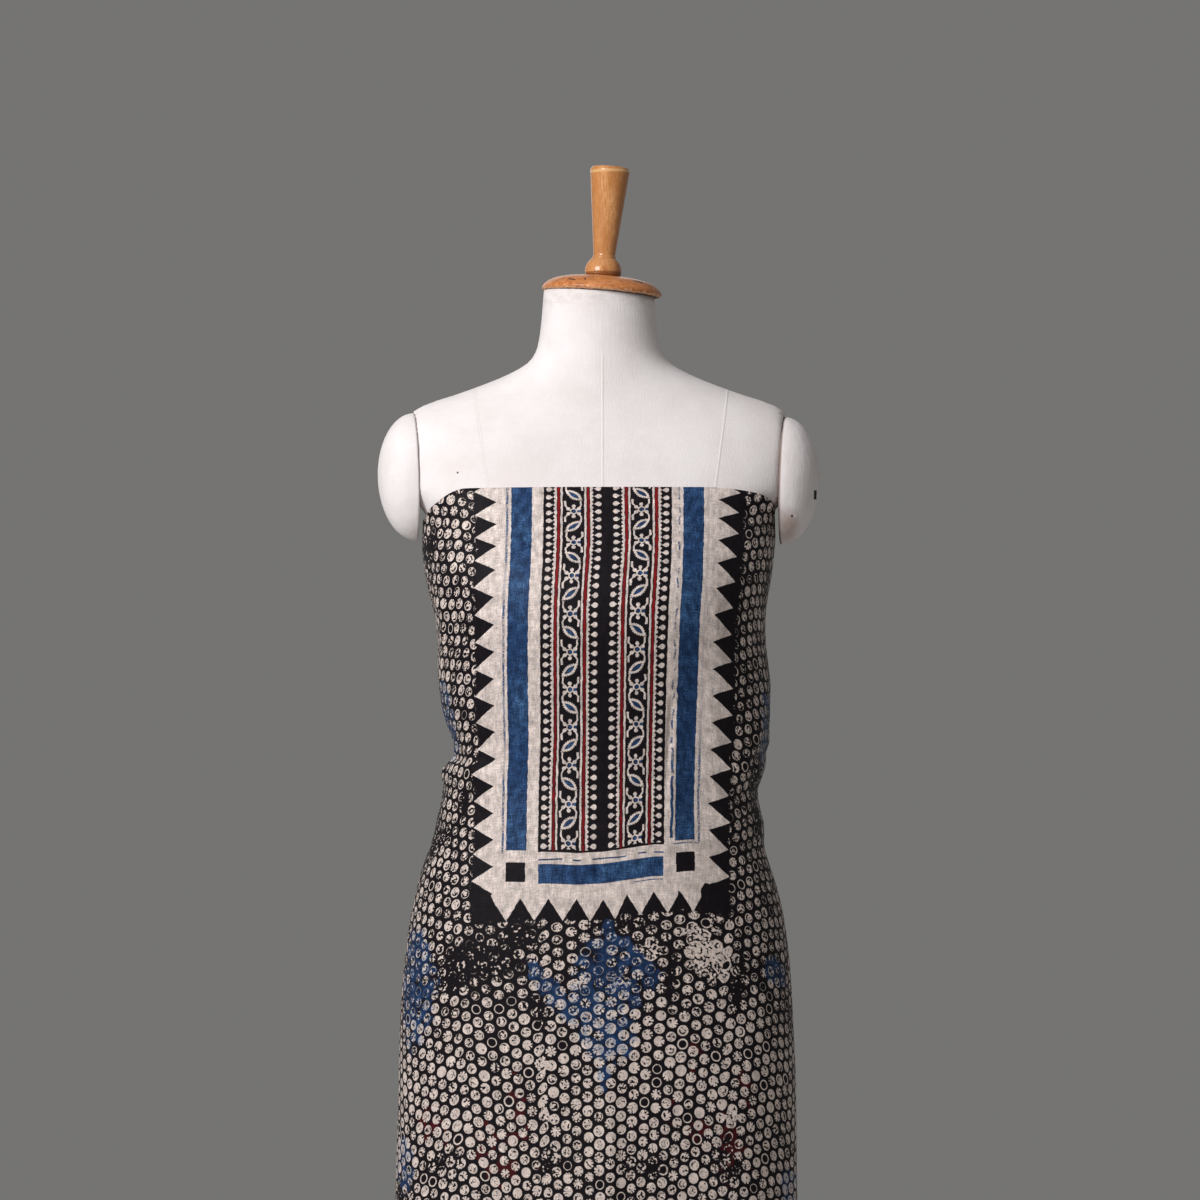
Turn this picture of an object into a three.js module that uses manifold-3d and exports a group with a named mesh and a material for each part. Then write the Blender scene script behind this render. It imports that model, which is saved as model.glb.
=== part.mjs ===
// A cut length of ajrakh block-printed silk, wrapped once round a padded dress form on its stand.
// Millimetres, +Z up, the front facing -Y, the origin on the floor under the middle of the base.
import * as THREE from 'three';
import { mergeVertices } from 'three/addons/utils/BufferGeometryUtils.js';
import Module from 'manifold-3d';

const wasm = await Module();
wasm.setup();

// The cloth as it was cut, how thick its solid is and how it lies on the form.
const CLOTH_WIDTH = 1120;
const CLOTH_LENGTH = 1040;
const CLOTH_THICKNESS = 2;
const CLOTH_CLEARANCE = 3;
const CLOTH_GRIP = { height: 1222, reach: 26, closer: 1.54 }; // where the wrap holds it to the chest
const LAP_RISE = 4.6; // the upper end lies this far over the lower end at the back
const LAP_RAMP = 60; // and climbs to it over this length of cloth
const CLOTH_COLUMNS = 58;

// How closely the cloth's rows follow each other, from its top edge down.
const CLOTH_ROWS = [
  { downTo: 165, step: 24 },
  { downTo: 297, step: 12 },
  { downTo: 420, step: 24 },
  { downTo: CLOTH_LENGTH, step: 44 },
];

// The levels at which the hanging cloth is worked out, and the stride by which it is followed down.
const HANG = { from: 1270, spacing: 6, levels: 182, stride: 3 };
const OUTLINE_POINTS = 288;

// The dressed figure, one row a level: its half width, its depth to the front and to the back of the
// pole, and how square its outline is, where 2 is an ellipse. Below the torso the rows go on for the
// cloth that hangs from the hips.
const FIGURE = [
  { height: 150, half: 187, front: 110, back: 121, square: 2.25 },
  { height: 592, half: 183, front: 108, back: 117, square: 2.3 },
  { height: 700, half: 182.5, front: 109, back: 119, square: 2.3 },
  { height: 760, half: 180, front: 111.5, back: 122, square: 2.3 },
  { height: 813, half: 177, front: 113.5, back: 122, square: 2.3 },
  { height: 854, half: 172, front: 114, back: 116, square: 2.3 },
  { height: 890, half: 164, front: 113, back: 107, square: 2.3 },
  { height: 926, half: 152.5, front: 111.5, back: 96, square: 2.3 },
  { height: 954, half: 144, front: 110, back: 88, square: 2.3 },
  { height: 982, half: 134, front: 109.5, back: 83, square: 2.3 },
  { height: 1004, half: 131.5, front: 110.5, back: 82, square: 2.3 },
  { height: 1028, half: 133.5, front: 114, back: 83, square: 2.3 },
  { height: 1062, half: 138.8, front: 121, back: 86, square: 2.35 },
  { height: 1104, half: 144.8, front: 132, back: 90, square: 2.4 },
  { height: 1144, half: 150.7, front: 140, back: 95, square: 2.5 },
  { height: 1169, half: 156.4, front: 138, back: 97, square: 2.55 },
  { height: 1200, half: 161.8, front: 127, back: 99.5, square: 2.5 },
  { height: 1223, half: 164.5, front: 111, back: 101, square: 2.5 },
  { height: 1240, half: 163.6, front: 98.5, back: 102, square: 2.5 },
  { height: 1252, half: 171, front: 89.5, back: 103, square: 2.5 },
  { height: 1268, half: 186, front: 78, back: 103, square: 2.5 },
  { height: 1290, half: 194, front: 69, back: 102.5, square: 2.5 },
  { height: 1310, half: 197, front: 62.5, back: 100, square: 2.3 },
  { height: 1325, half: 193, front: 59, back: 96, square: 2.1 },
  { height: 1336, half: 184, front: 56.5, back: 90, square: 1.8 },
  { height: 1344, half: 172, front: 55, back: 83, square: 1.65 },
  { height: 1351, half: 155, front: 53.7, back: 77, square: 1.6 },
  { height: 1358, half: 133, front: 52.6, back: 73, square: 1.58 },
  { height: 1366, half: 111, front: 51.4, back: 70, square: 1.6 },
  { height: 1374, half: 91, front: 50.4, back: 68, square: 1.7 },
  { height: 1382, half: 75, front: 49.6, back: 66.5, square: 1.85 },
  { height: 1390, half: 64.5, front: 49, back: 66, square: 2 },
  { height: 1402, half: 58.5, front: 48.6, back: 65, square: 2 },
  { height: 1422, half: 55, front: 48.8, back: 60, square: 2 },
  { height: 1452, half: 52.3, front: 50, back: 54.5, square: 2 },
];

// How far the cloth stands off the form at its two sides: it is drawn in at the waist, with a
// rounded fold pushed out just above and below the tightest place on either side.
const SIDE_FOLDS = [
  { height: 150, left: 5, right: 2 },
  { height: 592, left: 4.4, right: 0 },
  { height: 700, left: 3.4, right: 0 },
  { height: 777, left: 4.4, right: 0 },
  { height: 832, left: 3.4, right: 0 },
  { height: 878, left: 4, right: 0.4 },
  { height: 913, left: 4.6, right: 0 },
  { height: 926, left: 4.2, right: 0.4 },
  { height: 940, left: 3.8, right: 4.1 },
  { height: 954, left: 5.3, right: 7.4 },
  { height: 969, left: 7, right: 8 },
  { height: 982, left: 9.4, right: 10.4 },
  { height: 989, left: 9.8, right: 14 },
  { height: 997, left: 12.5, right: 19 },
  { height: 1005, left: 10, right: 21 },
  { height: 1015, left: 0.2, right: 18.4 },
  { height: 1028, left: 0.6, right: 21.4 },
  { height: 1046, left: 4.3, right: 21.3 },
  { height: 1062, left: 5.8, right: 19 },
  { height: 1081, left: 6, right: 16.7 },
  { height: 1104, left: 3.6, right: 11 },
  { height: 1120, left: 1.4, right: 6.9 },
  { height: 1144, left: 0, right: 2.7 },
  { height: 1169, left: 0.4, right: 0 },
  { height: 1205, left: 1.2, right: 0 },
  { height: 1225, left: 0, right: 0 },
];

// The cloth's top edge: level across the chest and the back, low under the arms.
const TOP_EDGE = [
  { across: -560, height: 1262 },
  { across: -380, height: 1262 },
  { across: -300, height: 1250 },
  { across: -235, height: 1236 },
  { across: -200, height: 1238 },
  { across: -165, height: 1250 },
  { across: -125, height: 1266 },
  { across: 0, height: 1267 },
  { across: 100, height: 1267 },
  { across: 150, height: 1262 },
  { across: 178, height: 1252 },
  { across: 205, height: 1240 },
  { across: 235, height: 1236 },
  { across: 300, height: 1248 },
  { across: 380, height: 1262 },
  { across: 560, height: 1262 },
];

// Soft folds in the cloth: the middle of each one, across from the panel's middle and above the
// floor, half its width and length, how far it leans from plumb, and how high it stands.
const SOFT_FOLDS = [
  { across: 68, height: 1000, width: 12, length: 60, lean: 4, rise: 3 },
  { across: -128, height: 1010, width: 11, length: 34, lean: -38, rise: 3.5 },
  { across: -172, height: 1150, width: 13, length: 60, lean: 14, rise: 3 },
  { across: 152, height: 1020, width: 12, length: 46, lean: 32, rise: 4 },
  { across: 128, height: 960, width: 10, length: 40, lean: -30, rise: 3 },
  { across: 2, height: 640, width: 22, length: 120, lean: 0, rise: 4 },
];

// The flutes that the cloth falls into below the hips: where each one stands round the figure, in
// degrees from the front by the right side, half its width, and how far it swells at the hem.
const FLUTES = [
  { around: 2, width: 27, swell: 22 },
  { around: 44, width: 24, swell: 17 },
  { around: 80, width: 31, swell: 18 },
  { around: 120, width: 26, swell: 24 },
  { around: 156, width: 28, swell: 18 },
  { around: 196, width: 25, swell: 23 },
  { around: 233, width: 29, swell: 19 },
  { around: 276, width: 28, swell: 19 },
  { around: 321, width: 25, swell: 17 },
];
const FLUTE_TOP = 715;
const FLUTE_FOOT = 240;
const FLUTE_SINK = 7; // the cloth between two flutes hangs in by this much at the hem

// The torso, from its flat underside at the hips to the top of the neck.
const TORSO_BOTTOM = 700;
const NECK_TOP = 1452;
const TORSO_SIDES = 40;
const TORSO_EDGE = { height: 12, drawn: 0.04 }; // the padding draws in to the flat underside
const SEAT_GAP = 0.3;

// The arm caps: half of a squashed ball on each armhole, which faces a little forward and down.
const ARM_CAP = { out: 35.6, up: 60.5, deep: 45, across: 174.4, height: 1279, toe: 0.13, droop: 0.03 };
const ARM_CAP_SIDES = [
  { name: 'arm_cap_left', side: -1, drop: 0 },
  { name: 'arm_cap_right', side: 1, drop: 3.6 },
];

// The wooden cap and its handle lean to the right together, with the top of the neck.
const CROWN = { across: 2.5, back: 2, lean: 3.9, leanFrom: 1402 };

// The cap's half outline: how far in from its rim and how far up from the neck.
const CAP_RADIUS = 57.2;
const CAP_HEIGHT = 17.6;
const CAP_OUTLINE = [
  { inward: CAP_RADIUS, up: SEAT_GAP },
  { inward: 4, up: SEAT_GAP },
  { inward: 1, up: 1.4 },
  { inward: 0, up: 3.6 },
  { inward: 1.6, up: 6.6 },
  { inward: 5.5, up: 10.2 },
  { inward: 12, up: 13.4 },
  { inward: 22, up: 15.8 },
  { inward: 38, up: CAP_HEIGHT },
  { inward: CAP_RADIUS, up: CAP_HEIGHT },
];

// The handle's half outline, a bell-shaped foot and a cone with a chamfered top.
const HANDLE_RADIUS = 19;
const HANDLE_HEIGHT = 103.6;
const HANDLE_OUTLINE = [
  { radius: 0, up: 0 },
  { radius: 16.6, up: 0 },
  { radius: 17.5, up: 2.6 },
  { radius: 17.3, up: 7 },
  { radius: 15.7, up: 11.5 },
  { radius: 12.8, up: 15.2 },
  { radius: 10.9, up: 16.8 },
  { radius: 11.2, up: 18.2 },
  { radius: 10.3, up: 19.4 },
  { radius: HANDLE_RADIUS - 0.4, up: HANDLE_HEIGHT - 5 },
  { radius: HANDLE_RADIUS, up: HANDLE_HEIGHT - 3.4 },
  { radius: HANDLE_RADIUS - 1.8, up: HANDLE_HEIGHT },
  { radius: 0, up: HANDLE_HEIGHT },
];

// The stand: the pole from the base's socket up into the torso's, and the round base's half outline.
const POLE_RADIUS = 16;
const POLE_SOCKET = 80;
const BASE_RADIUS = 220;
const BASE_FLOOR = 6;
const BASE_OUTLINE = [
  { radius: 0, up: BASE_FLOOR },
  { radius: POLE_RADIUS + SEAT_GAP, up: BASE_FLOOR },
  { radius: POLE_RADIUS + SEAT_GAP, up: 50 },
  { radius: 26, up: 50 },
  { radius: 28, up: 48 },
  { radius: 28, up: 27 },
  { radius: 33, up: 22 },
  { radius: BASE_RADIUS - 16, up: 15 },
  { radius: BASE_RADIUS - 4, up: 12 },
  { radius: BASE_RADIUS, up: 7 },
  { radius: BASE_RADIUS, up: 2 },
  { radius: BASE_RADIUS - 2, up: 0 },
  { radius: 0, up: 0 },
];

// How many flat sides stand for each round piece.
const SIDES = { socket: 24, armCap: 32, armCapSteps: 7, cap: 40, handle: 28, base: 48, pole: 24 };

const COLOURS = {
  silk: { color: '#6b6262', roughness: 0.62, metalness: 0 },
  cover: { color: '#e3dedb', roughness: 0.9, metalness: 0 },
  capWood: { color: '#b0692f', roughness: 0.35, metalness: 0 },
  handleWood: { color: '#cf9152', roughness: 0.3, metalness: 0 },
  steel: { color: '#34363a', roughness: 0.45, metalness: 0.8 },
};

/** A smooth curve through a table's rows: gives the value of a column anywhere along its key. */
function curveThrough(rows, key, column) {
  const at = rows.map((row) => row[key]);
  const value = rows.map((row) => row[column]);
  const slope = at.slice(1).map((next, i) => (value[i + 1] - value[i]) / (next - at[i]));
  const tangent = at.map((_, i) => {
    const before = slope[Math.max(i - 1, 0)];
    const after = slope[Math.min(i, slope.length - 1)];
    return before * after > 0 ? (2 * before * after) / (before + after) : 0;
  });
  return (place) => {
    const last = at.length - 2;
    const found = at.findIndex((edge, i) => i > 0 && place <= edge) - 1;
    const i = found < 0 ? (place <= at[0] ? 0 : last) : found;
    const span = at[i + 1] - at[i];
    const t = THREE.MathUtils.clamp((place - at[i]) / span, 0, 1);
    const ease = t * t * (3 - 2 * t);
    return value[i] * (1 - ease) + value[i + 1] * ease
      + span * (t * (1 - t) ** 2 * tangent[i] - t * t * (1 - t) * tangent[i + 1]);
  };
}

const figureHalf = curveThrough(FIGURE, 'height', 'half');
const figureFront = curveThrough(FIGURE, 'height', 'front');
const figureBack = curveThrough(FIGURE, 'height', 'back');
const figureSquare = curveThrough(FIGURE, 'height', 'square');
const leftFold = curveThrough(SIDE_FOLDS, 'height', 'left');
const rightFold = curveThrough(SIDE_FOLDS, 'height', 'right');
const topEdge = curveThrough(TOP_EDGE, 'across', 'height');

/** 0 at the first edge and below, 1 at the second and above, eased between them. */
function easeBetween(low, high, place) {
  return THREE.MathUtils.smoothstep(place, low, high);
}

/** The figure's outline at a height: points from the front round by the right side. */
function figureOutline(height) {
  const half = figureHalf(height);
  const power = 2 / figureSquare(height);
  const points = [];
  for (let i = 0; i < OUTLINE_POINTS; i += 1) {
    const turn = (i / OUTLINE_POINTS) * Math.PI * 2;
    const s = Math.sin(turn);
    const c = Math.cos(turn);
    const depth = c > 0 ? figureFront(height) : figureBack(height);
    points.push(new THREE.Vector3(
      half * Math.sign(s) * Math.abs(s) ** power, -depth * Math.sign(c) * Math.abs(c) ** power, height));
  }
  return points;
}

/** The level directions that point out of a closed outline at each of its points. */
function outwards(points) {
  return points.map((_, i) => {
    const before = points[(i + points.length - 1) % points.length];
    const after = points[(i + 1) % points.length];
    return new THREE.Vector3(after.y - before.y, before.x - after.x, 0).normalize();
  });
}

/** Points evenly spaced along a closed outline, starting from its first point. */
function evenlySpaced(points, count) {
  const run = runAlong(points);
  const around = run[points.length];
  return Array.from({ length: count }, (_, i) => placeAlong(points, run, (i / count) * around));
}

/** The length run along a closed outline up to each point, and back at the first one. */
function runAlong(points) {
  const run = [0];
  points.forEach((point, i) => run.push(run[i] + point.distanceTo(points[(i + 1) % points.length])));
  return run;
}

/** The point that lies a given run along a closed outline. */
function placeAlong(points, run, length) {
  const around = run[points.length];
  const wanted = ((length % around) + around) % around;
  let i = Math.floor((wanted / around) * points.length);
  while (run[i] > wanted) i -= 1;
  while (run[i + 1] <= wanted) i += 1;
  const part = (wanted - run[i]) / (run[i + 1] - run[i]);
  return points[i].clone().lerp(points[(i + 1) % points.length], part);
}

/** How far the cloth stands off the figure at a point of its outline. */
function standOff(point, turn) {
  const grip = CLOTH_GRIP.closer * Math.exp(-(((point.z - CLOTH_GRIP.height) / CLOTH_GRIP.reach) ** 2));
  const reach = Math.abs(point.x) / figureHalf(point.z);
  const side = easeBetween(0.5, 1, reach) * (point.x < 0 ? leftFold(point.z) : rightFold(point.z));
  const fall = THREE.MathUtils.clamp((FLUTE_TOP - point.z) / (FLUTE_TOP - FLUTE_FOOT), 0, 1.1) ** 1.4;
  const radius = Math.hypot(point.x, point.y);
  const flutes = FLUTES.reduce((sum, flute) => {
    const away = THREE.MathUtils.euclideanModulo(turn - flute.around + 180, 360) - 180;
    const along = THREE.MathUtils.degToRad(away) * radius;
    return sum + flute.swell * Math.exp(-((along / flute.width) ** 2));
  }, -FLUTE_SINK);
  return CLOTH_CLEARANCE - grip + side + fall * flutes;
}

/** The soft folds' height at a place on the cloth. */
function foldRise(across, height) {
  return SOFT_FOLDS.reduce((sum, fold) => {
    const lean = THREE.MathUtils.degToRad(fold.lean);
    const aside = (across - fold.across) * Math.cos(lean) - (height - fold.height) * Math.sin(lean);
    const along = (across - fold.across) * Math.sin(lean) + (height - fold.height) * Math.cos(lean);
    return sum + fold.rise * Math.exp(-((aside / fold.width) ** 2) - (along / fold.length) ** 2);
  }, 0);
}

/** The middle of the cloth's thickness at a height, at each column across its width. */
function clothLevel(height) {
  const figure = figureOutline(height);
  const out = outwards(figure);
  const lie = figure.map((point, i) => point.clone().addScaledVector(
    out[i], CLOTH_THICKNESS / 2 + standOff(point, (i / figure.length) * 360)));
  const lieOut = outwards(lie);
  const run = runAlong(lie);
  const around = run[lie.length];
  const lowerEnd = around - CLOTH_WIDTH / 2;
  return Array.from({ length: CLOTH_COLUMNS + 1 }, (_, column) => {
    const across = (column / CLOTH_COLUMNS - 0.5) * CLOTH_WIDTH;
    const place = placeAlong(lie, run, across);
    const out = placeAlong(lieOut, run, across).normalize();
    const lap = LAP_RISE * easeBetween(lowerEnd - LAP_RAMP, lowerEnd - LAP_RAMP / 6, across);
    return { place: place.addScaledVector(out, lap + foldRise(across, height)), out, across };
  });
}

/** How far down the cloth each of its rows lies, from the top edge to the hem. */
function rowDepths() {
  const depths = [0];
  for (const { downTo, step } of CLOTH_ROWS) {
    const start = depths[depths.length - 1];
    const count = Math.round((downTo - start) / step);
    for (let i = 1; i <= count; i += 1) depths.push(start + ((downTo - start) * i) / count);
  }
  return depths;
}

/** One column of the cloth, followed down and in or out from the top edge until its length is used. */
function hangColumn(levels, column, depths) {
  const top = topEdge(levels[0][column].across);
  const at = (height) => {
    const level = (HANG.from - height) / HANG.spacing;
    const upper = levels[Math.floor(level)][column];
    const lower = levels[Math.floor(level) + 1][column];
    const part = level - Math.floor(level);
    return {
      place: upper.place.clone().lerp(lower.place, part),
      out: upper.out.clone().lerp(lower.out, part),
    };
  };
  const hung = [at(top)];
  let height = top;
  let used = 0;
  let here = hung[0];
  while (hung.length < depths.length) {
    const next = at(height - HANG.stride);
    const move = next.place.clone().sub(here.place);
    const gained = Math.hypot(move.z, move.dot(here.out));
    const wanted = depths[hung.length];
    if (used + gained >= wanted) {
      height -= (HANG.stride * (wanted - used)) / gained;
      used = wanted;
      here = at(height);
      hung.push(here);
    } else {
      height -= HANG.stride;
      used += gained;
      here = next;
    }
  }
  return hung;
}

/** The whole cloth as two skins of points, one outside and one inside, row by row. */
function hangCloth() {
  const levels = Array.from({ length: HANG.levels }, (_, i) => clothLevel(HANG.from - i * HANG.spacing));
  const depths = rowDepths();
  const columns = levels[0].map((_, column) => hangColumn(levels, column, depths));
  const skin = (offset) => depths.map((_, row) => columns.map(
    (column) => column[row].place.clone().addScaledVector(column[row].out.normalize(), offset)));
  return { outer: skin(CLOTH_THICKNESS / 2), inner: skin(-CLOTH_THICKNESS / 2) };
}

/** A mesh geometry from points and triangles, closed, with its faces turned outwards. */
function solidFrom(points, triangles) {
  const geometry = new THREE.BufferGeometry();
  const places = points.flatMap((point) => [point.x, point.y, point.z]);
  geometry.setAttribute('position', new THREE.Float32BufferAttribute(places, 3));
  geometry.setIndex(triangles.flat());
  return closedSolid(geometry);
}

/** Merges shared points, drops triangles without area and turns all faces outwards. */
function closedSolid(geometry) {
  geometry.deleteAttribute('normal');
  geometry.deleteAttribute('uv');
  const merged = mergeVertices(geometry, 1e-4);
  const place = merged.getAttribute('position');
  const corner = (i) => new THREE.Vector3().fromBufferAttribute(place, i);
  const kept = [];
  let volume = 0;
  for (let i = 0; i < merged.index.count; i += 3) {
    const [a, b, c] = [0, 1, 2].map((k) => merged.index.getX(i + k));
    if (a !== b && b !== c && c !== a) {
      kept.push(a, b, c);
      volume += corner(a).dot(corner(b).cross(corner(c)));
    }
  }
  if (volume < 0) kept.reverse();
  merged.setIndex(kept);
  merged.computeVertexNormals();
  return merged;
}

/** A thin sheet: an outer and an inner skin of rows, joined along all four edges. */
function sheetGeometry({ outer, inner }) {
  const rows = outer.length;
  const columns = outer[0].length;
  const points = [...outer.flat(), ...inner.flat()];
  const outside = (row, column) => row * columns + column;
  const inside = (row, column) => rows * columns + row * columns + column;
  const triangles = [];
  const quad = (a, b, c, d) => triangles.push([a, b, c], [a, c, d]);
  for (let row = 0; row + 1 < rows; row += 1) {
    for (let column = 0; column + 1 < columns; column += 1) {
      const [below, beside] = [row + 1, column + 1];
      quad(outside(row, column), outside(below, column), outside(below, beside), outside(row, beside));
      quad(inside(row, column), inside(row, beside), inside(below, beside), inside(below, column));
    }
    const last = columns - 1;
    quad(outside(row, 0), inside(row, 0), inside(row + 1, 0), outside(row + 1, 0));
    quad(outside(row, last), outside(row + 1, last), inside(row + 1, last), inside(row, last));
  }
  for (let column = 0; column + 1 < columns; column += 1) {
    const last = rows - 1;
    quad(outside(0, column), outside(0, column + 1), inside(0, column + 1), inside(0, column));
    quad(outside(last, column), inside(last, column), inside(last, column + 1), outside(last, column + 1));
  }
  return solidFrom(points, triangles);
}

/** A solid through closed rings of points, with a flat face across its first and last ring. */
function loftGeometry(rings) {
  const sides = rings[0].length;
  const points = rings.flat();
  const triangles = [];
  for (let ring = 0; ring + 1 < rings.length; ring += 1) {
    for (let i = 0; i < sides; i += 1) {
      const next = (i + 1) % sides;
      const [a, b] = [ring * sides + i, ring * sides + next];
      triangles.push([a, b, b + sides], [a, b + sides, a + sides]);
    }
  }
  const middleOf = (ring) => ring.reduce((sum, p) => sum.add(p), new THREE.Vector3()).divideScalar(sides);
  const first = points.push(middleOf(rings[0])) - 1;
  const last = points.push(middleOf(rings[rings.length - 1])) - 1;
  const lastRing = (rings.length - 1) * sides;
  for (let i = 0; i < sides; i += 1) {
    const next = (i + 1) % sides;
    triangles.push([first, next, i], [last, lastRing + i, lastRing + next]);
  }
  return solidFrom(points, triangles);
}

/** A turned solid round the Z axis, from a half outline of radii and heights. */
function turnedGeometry(outline, sides) {
  const profile = outline.map(({ radius, up }) => new THREE.Vector2(radius, up));
  const geometry = new THREE.LatheGeometry(profile, sides);
  geometry.rotateX(Math.PI / 2);
  return closedSolid(geometry);
}

/** A closed geometry as a solid that can be joined and cut. */
function toSolid(geometry) {
  return new wasm.Manifold(new wasm.Mesh({
    numProp: 3,
    vertProperties: new Float32Array(geometry.getAttribute('position').array),
    triVerts: new Uint32Array(geometry.index.array),
  }));
}

/** A cut or joined solid as a geometry again. */
function fromSolid(solid) {
  const mesh = solid.getMesh();
  const geometry = new THREE.BufferGeometry();
  geometry.setAttribute('position', new THREE.Float32BufferAttribute(mesh.vertProperties, 3));
  geometry.setIndex([...mesh.triVerts]);
  geometry.computeVertexNormals();
  return geometry;
}

/** A named mesh in one of the part's finishes. */
function piece(name, geometry, finish) {
  const mesh = new THREE.Mesh(geometry, new THREE.MeshStandardMaterial(COLOURS[finish]));
  mesh.name = name;
  return mesh;
}

/** How far the armhole's flat face stands from the middle of the form. */
function armholeFace(back, height, drop) {
  return ARM_CAP.across + ARM_CAP.toe * back + ARM_CAP.droop * (height - ARM_CAP.height + drop);
}

/** One ring of the torso, cut flat at the armholes, and level but for the leaning top of the neck. */
function torsoRing(height) {
  const lean = Math.tan(THREE.MathUtils.degToRad(CROWN.lean)) * easeBetween(CROWN.leanFrom, NECK_TOP, height);
  const edge = THREE.MathUtils.clamp((height - TORSO_BOTTOM) / TORSO_EDGE.height, 0, 1);
  const drawn = 1 - TORSO_EDGE.drawn * (1 - edge) ** 2;
  return evenlySpaced(figureOutline(height), TORSO_SIDES).map((point) => {
    const drop = ARM_CAP_SIDES[point.x < 0 ? 0 : 1].drop;
    const face = armholeFace(point.y, height, drop) - SEAT_GAP;
    const x = THREE.MathUtils.clamp(point.x * drawn, -face, face);
    return new THREE.Vector3(x, point.y * drawn, height - (x - CROWN.across) * lean);
  });
}

/** The padded torso, with the pole's socket in its underside. */
function torsoGeometry() {
  const edgeTop = TORSO_BOTTOM + TORSO_EDGE.height;
  const heights = [TORSO_BOTTOM, TORSO_BOTTOM + TORSO_EDGE.height / 3, edgeTop];
  heights.push(...FIGURE.map((row) => row.height).filter((height) => height > edgeTop));
  const body = toSolid(loftGeometry(heights.map(torsoRing)));
  const socketRadius = POLE_RADIUS + SEAT_GAP;
  const socket = new THREE.CylinderGeometry(socketRadius, socketRadius, 2 * POLE_SOCKET, SIDES.socket);
  socket.rotateX(Math.PI / 2);
  socket.translate(0, 0, TORSO_BOTTOM);
  return fromSolid(body.subtract(toSolid(closedSolid(socket))));
}

/** One arm cap: half a squashed ball whose flat face lies on its armhole. */
function armCap({ name, side, drop }) {
  const outline = [{ radius: 0, up: 0 }];
  for (let i = 0; i < SIDES.armCapSteps; i += 1) {
    const turn = (i / SIDES.armCapSteps) * (Math.PI / 2);
    outline.push({ radius: Math.cos(turn), up: Math.sin(turn) });
  }
  outline.push({ radius: 0, up: 1 });
  const geometry = turnedGeometry(outline, SIDES.armCap);
  geometry.scale(ARM_CAP.up, ARM_CAP.deep, ARM_CAP.out);
  const out = new THREE.Vector3(side, -ARM_CAP.toe, -ARM_CAP.droop).normalize();
  const along = new THREE.Vector3(0, 1, 0).addScaledVector(out, -out.y).normalize();
  const up = new THREE.Vector3().crossVectors(along, out);
  geometry.applyMatrix4(new THREE.Matrix4().makeBasis(up, along, out));
  const mesh = piece(name, closedSolid(geometry), 'cover');
  mesh.position.set(side * ARM_CAP.across, 0, ARM_CAP.height - drop);
  return mesh;
}

/** The wooden cap: flat below, with a worn lip and a low dome, and a flat spot for the handle. */
function neckCapGeometry() {
  const outline = CAP_OUTLINE.map(({ inward, up }) => ({ radius: CAP_RADIUS - inward, up }));
  return turnedGeometry(outline, SIDES.cap);
}

/** The turned handle, on the flat spot of the cap. */
function handleGeometry() {
  const geometry = turnedGeometry(HANDLE_OUTLINE, SIDES.handle);
  geometry.translate(0, 0, CAP_HEIGHT + SEAT_GAP);
  return geometry;
}

/** The straight pole, from the floor of the base's socket to the roof of the torso's. */
function stemGeometry() {
  const low = BASE_FLOOR + SEAT_GAP;
  const high = TORSO_BOTTOM + POLE_SOCKET - SEAT_GAP;
  return turnedGeometry([
    { radius: 0, up: low }, { radius: POLE_RADIUS, up: low },
    { radius: POLE_RADIUS, up: high }, { radius: 0, up: high },
  ], SIDES.pole);
}

const crown = new THREE.Group();
crown.position.set(CROWN.across, CROWN.back, NECK_TOP);
crown.rotation.y = THREE.MathUtils.degToRad(CROWN.lean);
crown.add(piece('neck_cap', neckCapGeometry(), 'capWood'), piece('handle', handleGeometry(), 'handleWood'));

const part = new THREE.Group();
part.add(
  piece('cloth', sheetGeometry(hangCloth()), 'silk'),
  piece('torso', torsoGeometry(), 'cover'),
  ...ARM_CAP_SIDES.map(armCap),
  crown,
  piece('stand_pole', stemGeometry(), 'steel'),
  piece('stand_base', turnedGeometry(BASE_OUTLINE, SIDES.base), 'steel'),
);

export default part;
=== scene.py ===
"""A cut length of ajrakh block-printed silk, wrapped once round a padded dress form on its stand.

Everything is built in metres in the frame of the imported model: +Z up, the front facing -Y, and the
origin on the floor under the pole. The tables are in millimetres, as a maker would write them down.
"""
import logging
import math
from dataclasses import dataclass
from enum import Enum
from typing import NamedTuple

import bpy
import numpy as np
from mathutils import Matrix, Vector


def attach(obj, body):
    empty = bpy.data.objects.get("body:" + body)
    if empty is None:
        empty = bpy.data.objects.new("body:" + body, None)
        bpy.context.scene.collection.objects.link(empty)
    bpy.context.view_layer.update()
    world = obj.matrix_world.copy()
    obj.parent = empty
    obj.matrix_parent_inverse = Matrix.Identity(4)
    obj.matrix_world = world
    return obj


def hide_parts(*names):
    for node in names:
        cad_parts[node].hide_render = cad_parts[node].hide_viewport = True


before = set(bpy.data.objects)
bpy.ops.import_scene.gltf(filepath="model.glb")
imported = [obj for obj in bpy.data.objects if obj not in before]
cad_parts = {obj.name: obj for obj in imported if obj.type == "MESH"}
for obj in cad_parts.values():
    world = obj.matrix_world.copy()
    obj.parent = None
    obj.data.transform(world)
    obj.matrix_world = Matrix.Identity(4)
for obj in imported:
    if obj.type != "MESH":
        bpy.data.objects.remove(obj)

log = logging.getLogger("ajrakh")
MM = 0.001
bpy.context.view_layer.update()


class Slot(Enum):
    """The record's material slots."""

    SILK = "silk"
    COVER = "cover"
    CAP_WOOD = "cap_wood"
    HANDLE_WOOD = "handle_wood"
    STAND_METAL = "stand_metal"


class Level(NamedTuple):
    """The dressed figure at a height: half width, depth to front and back, and how square it is."""

    height: float
    half: float
    front: float
    back: float
    square: float


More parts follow.
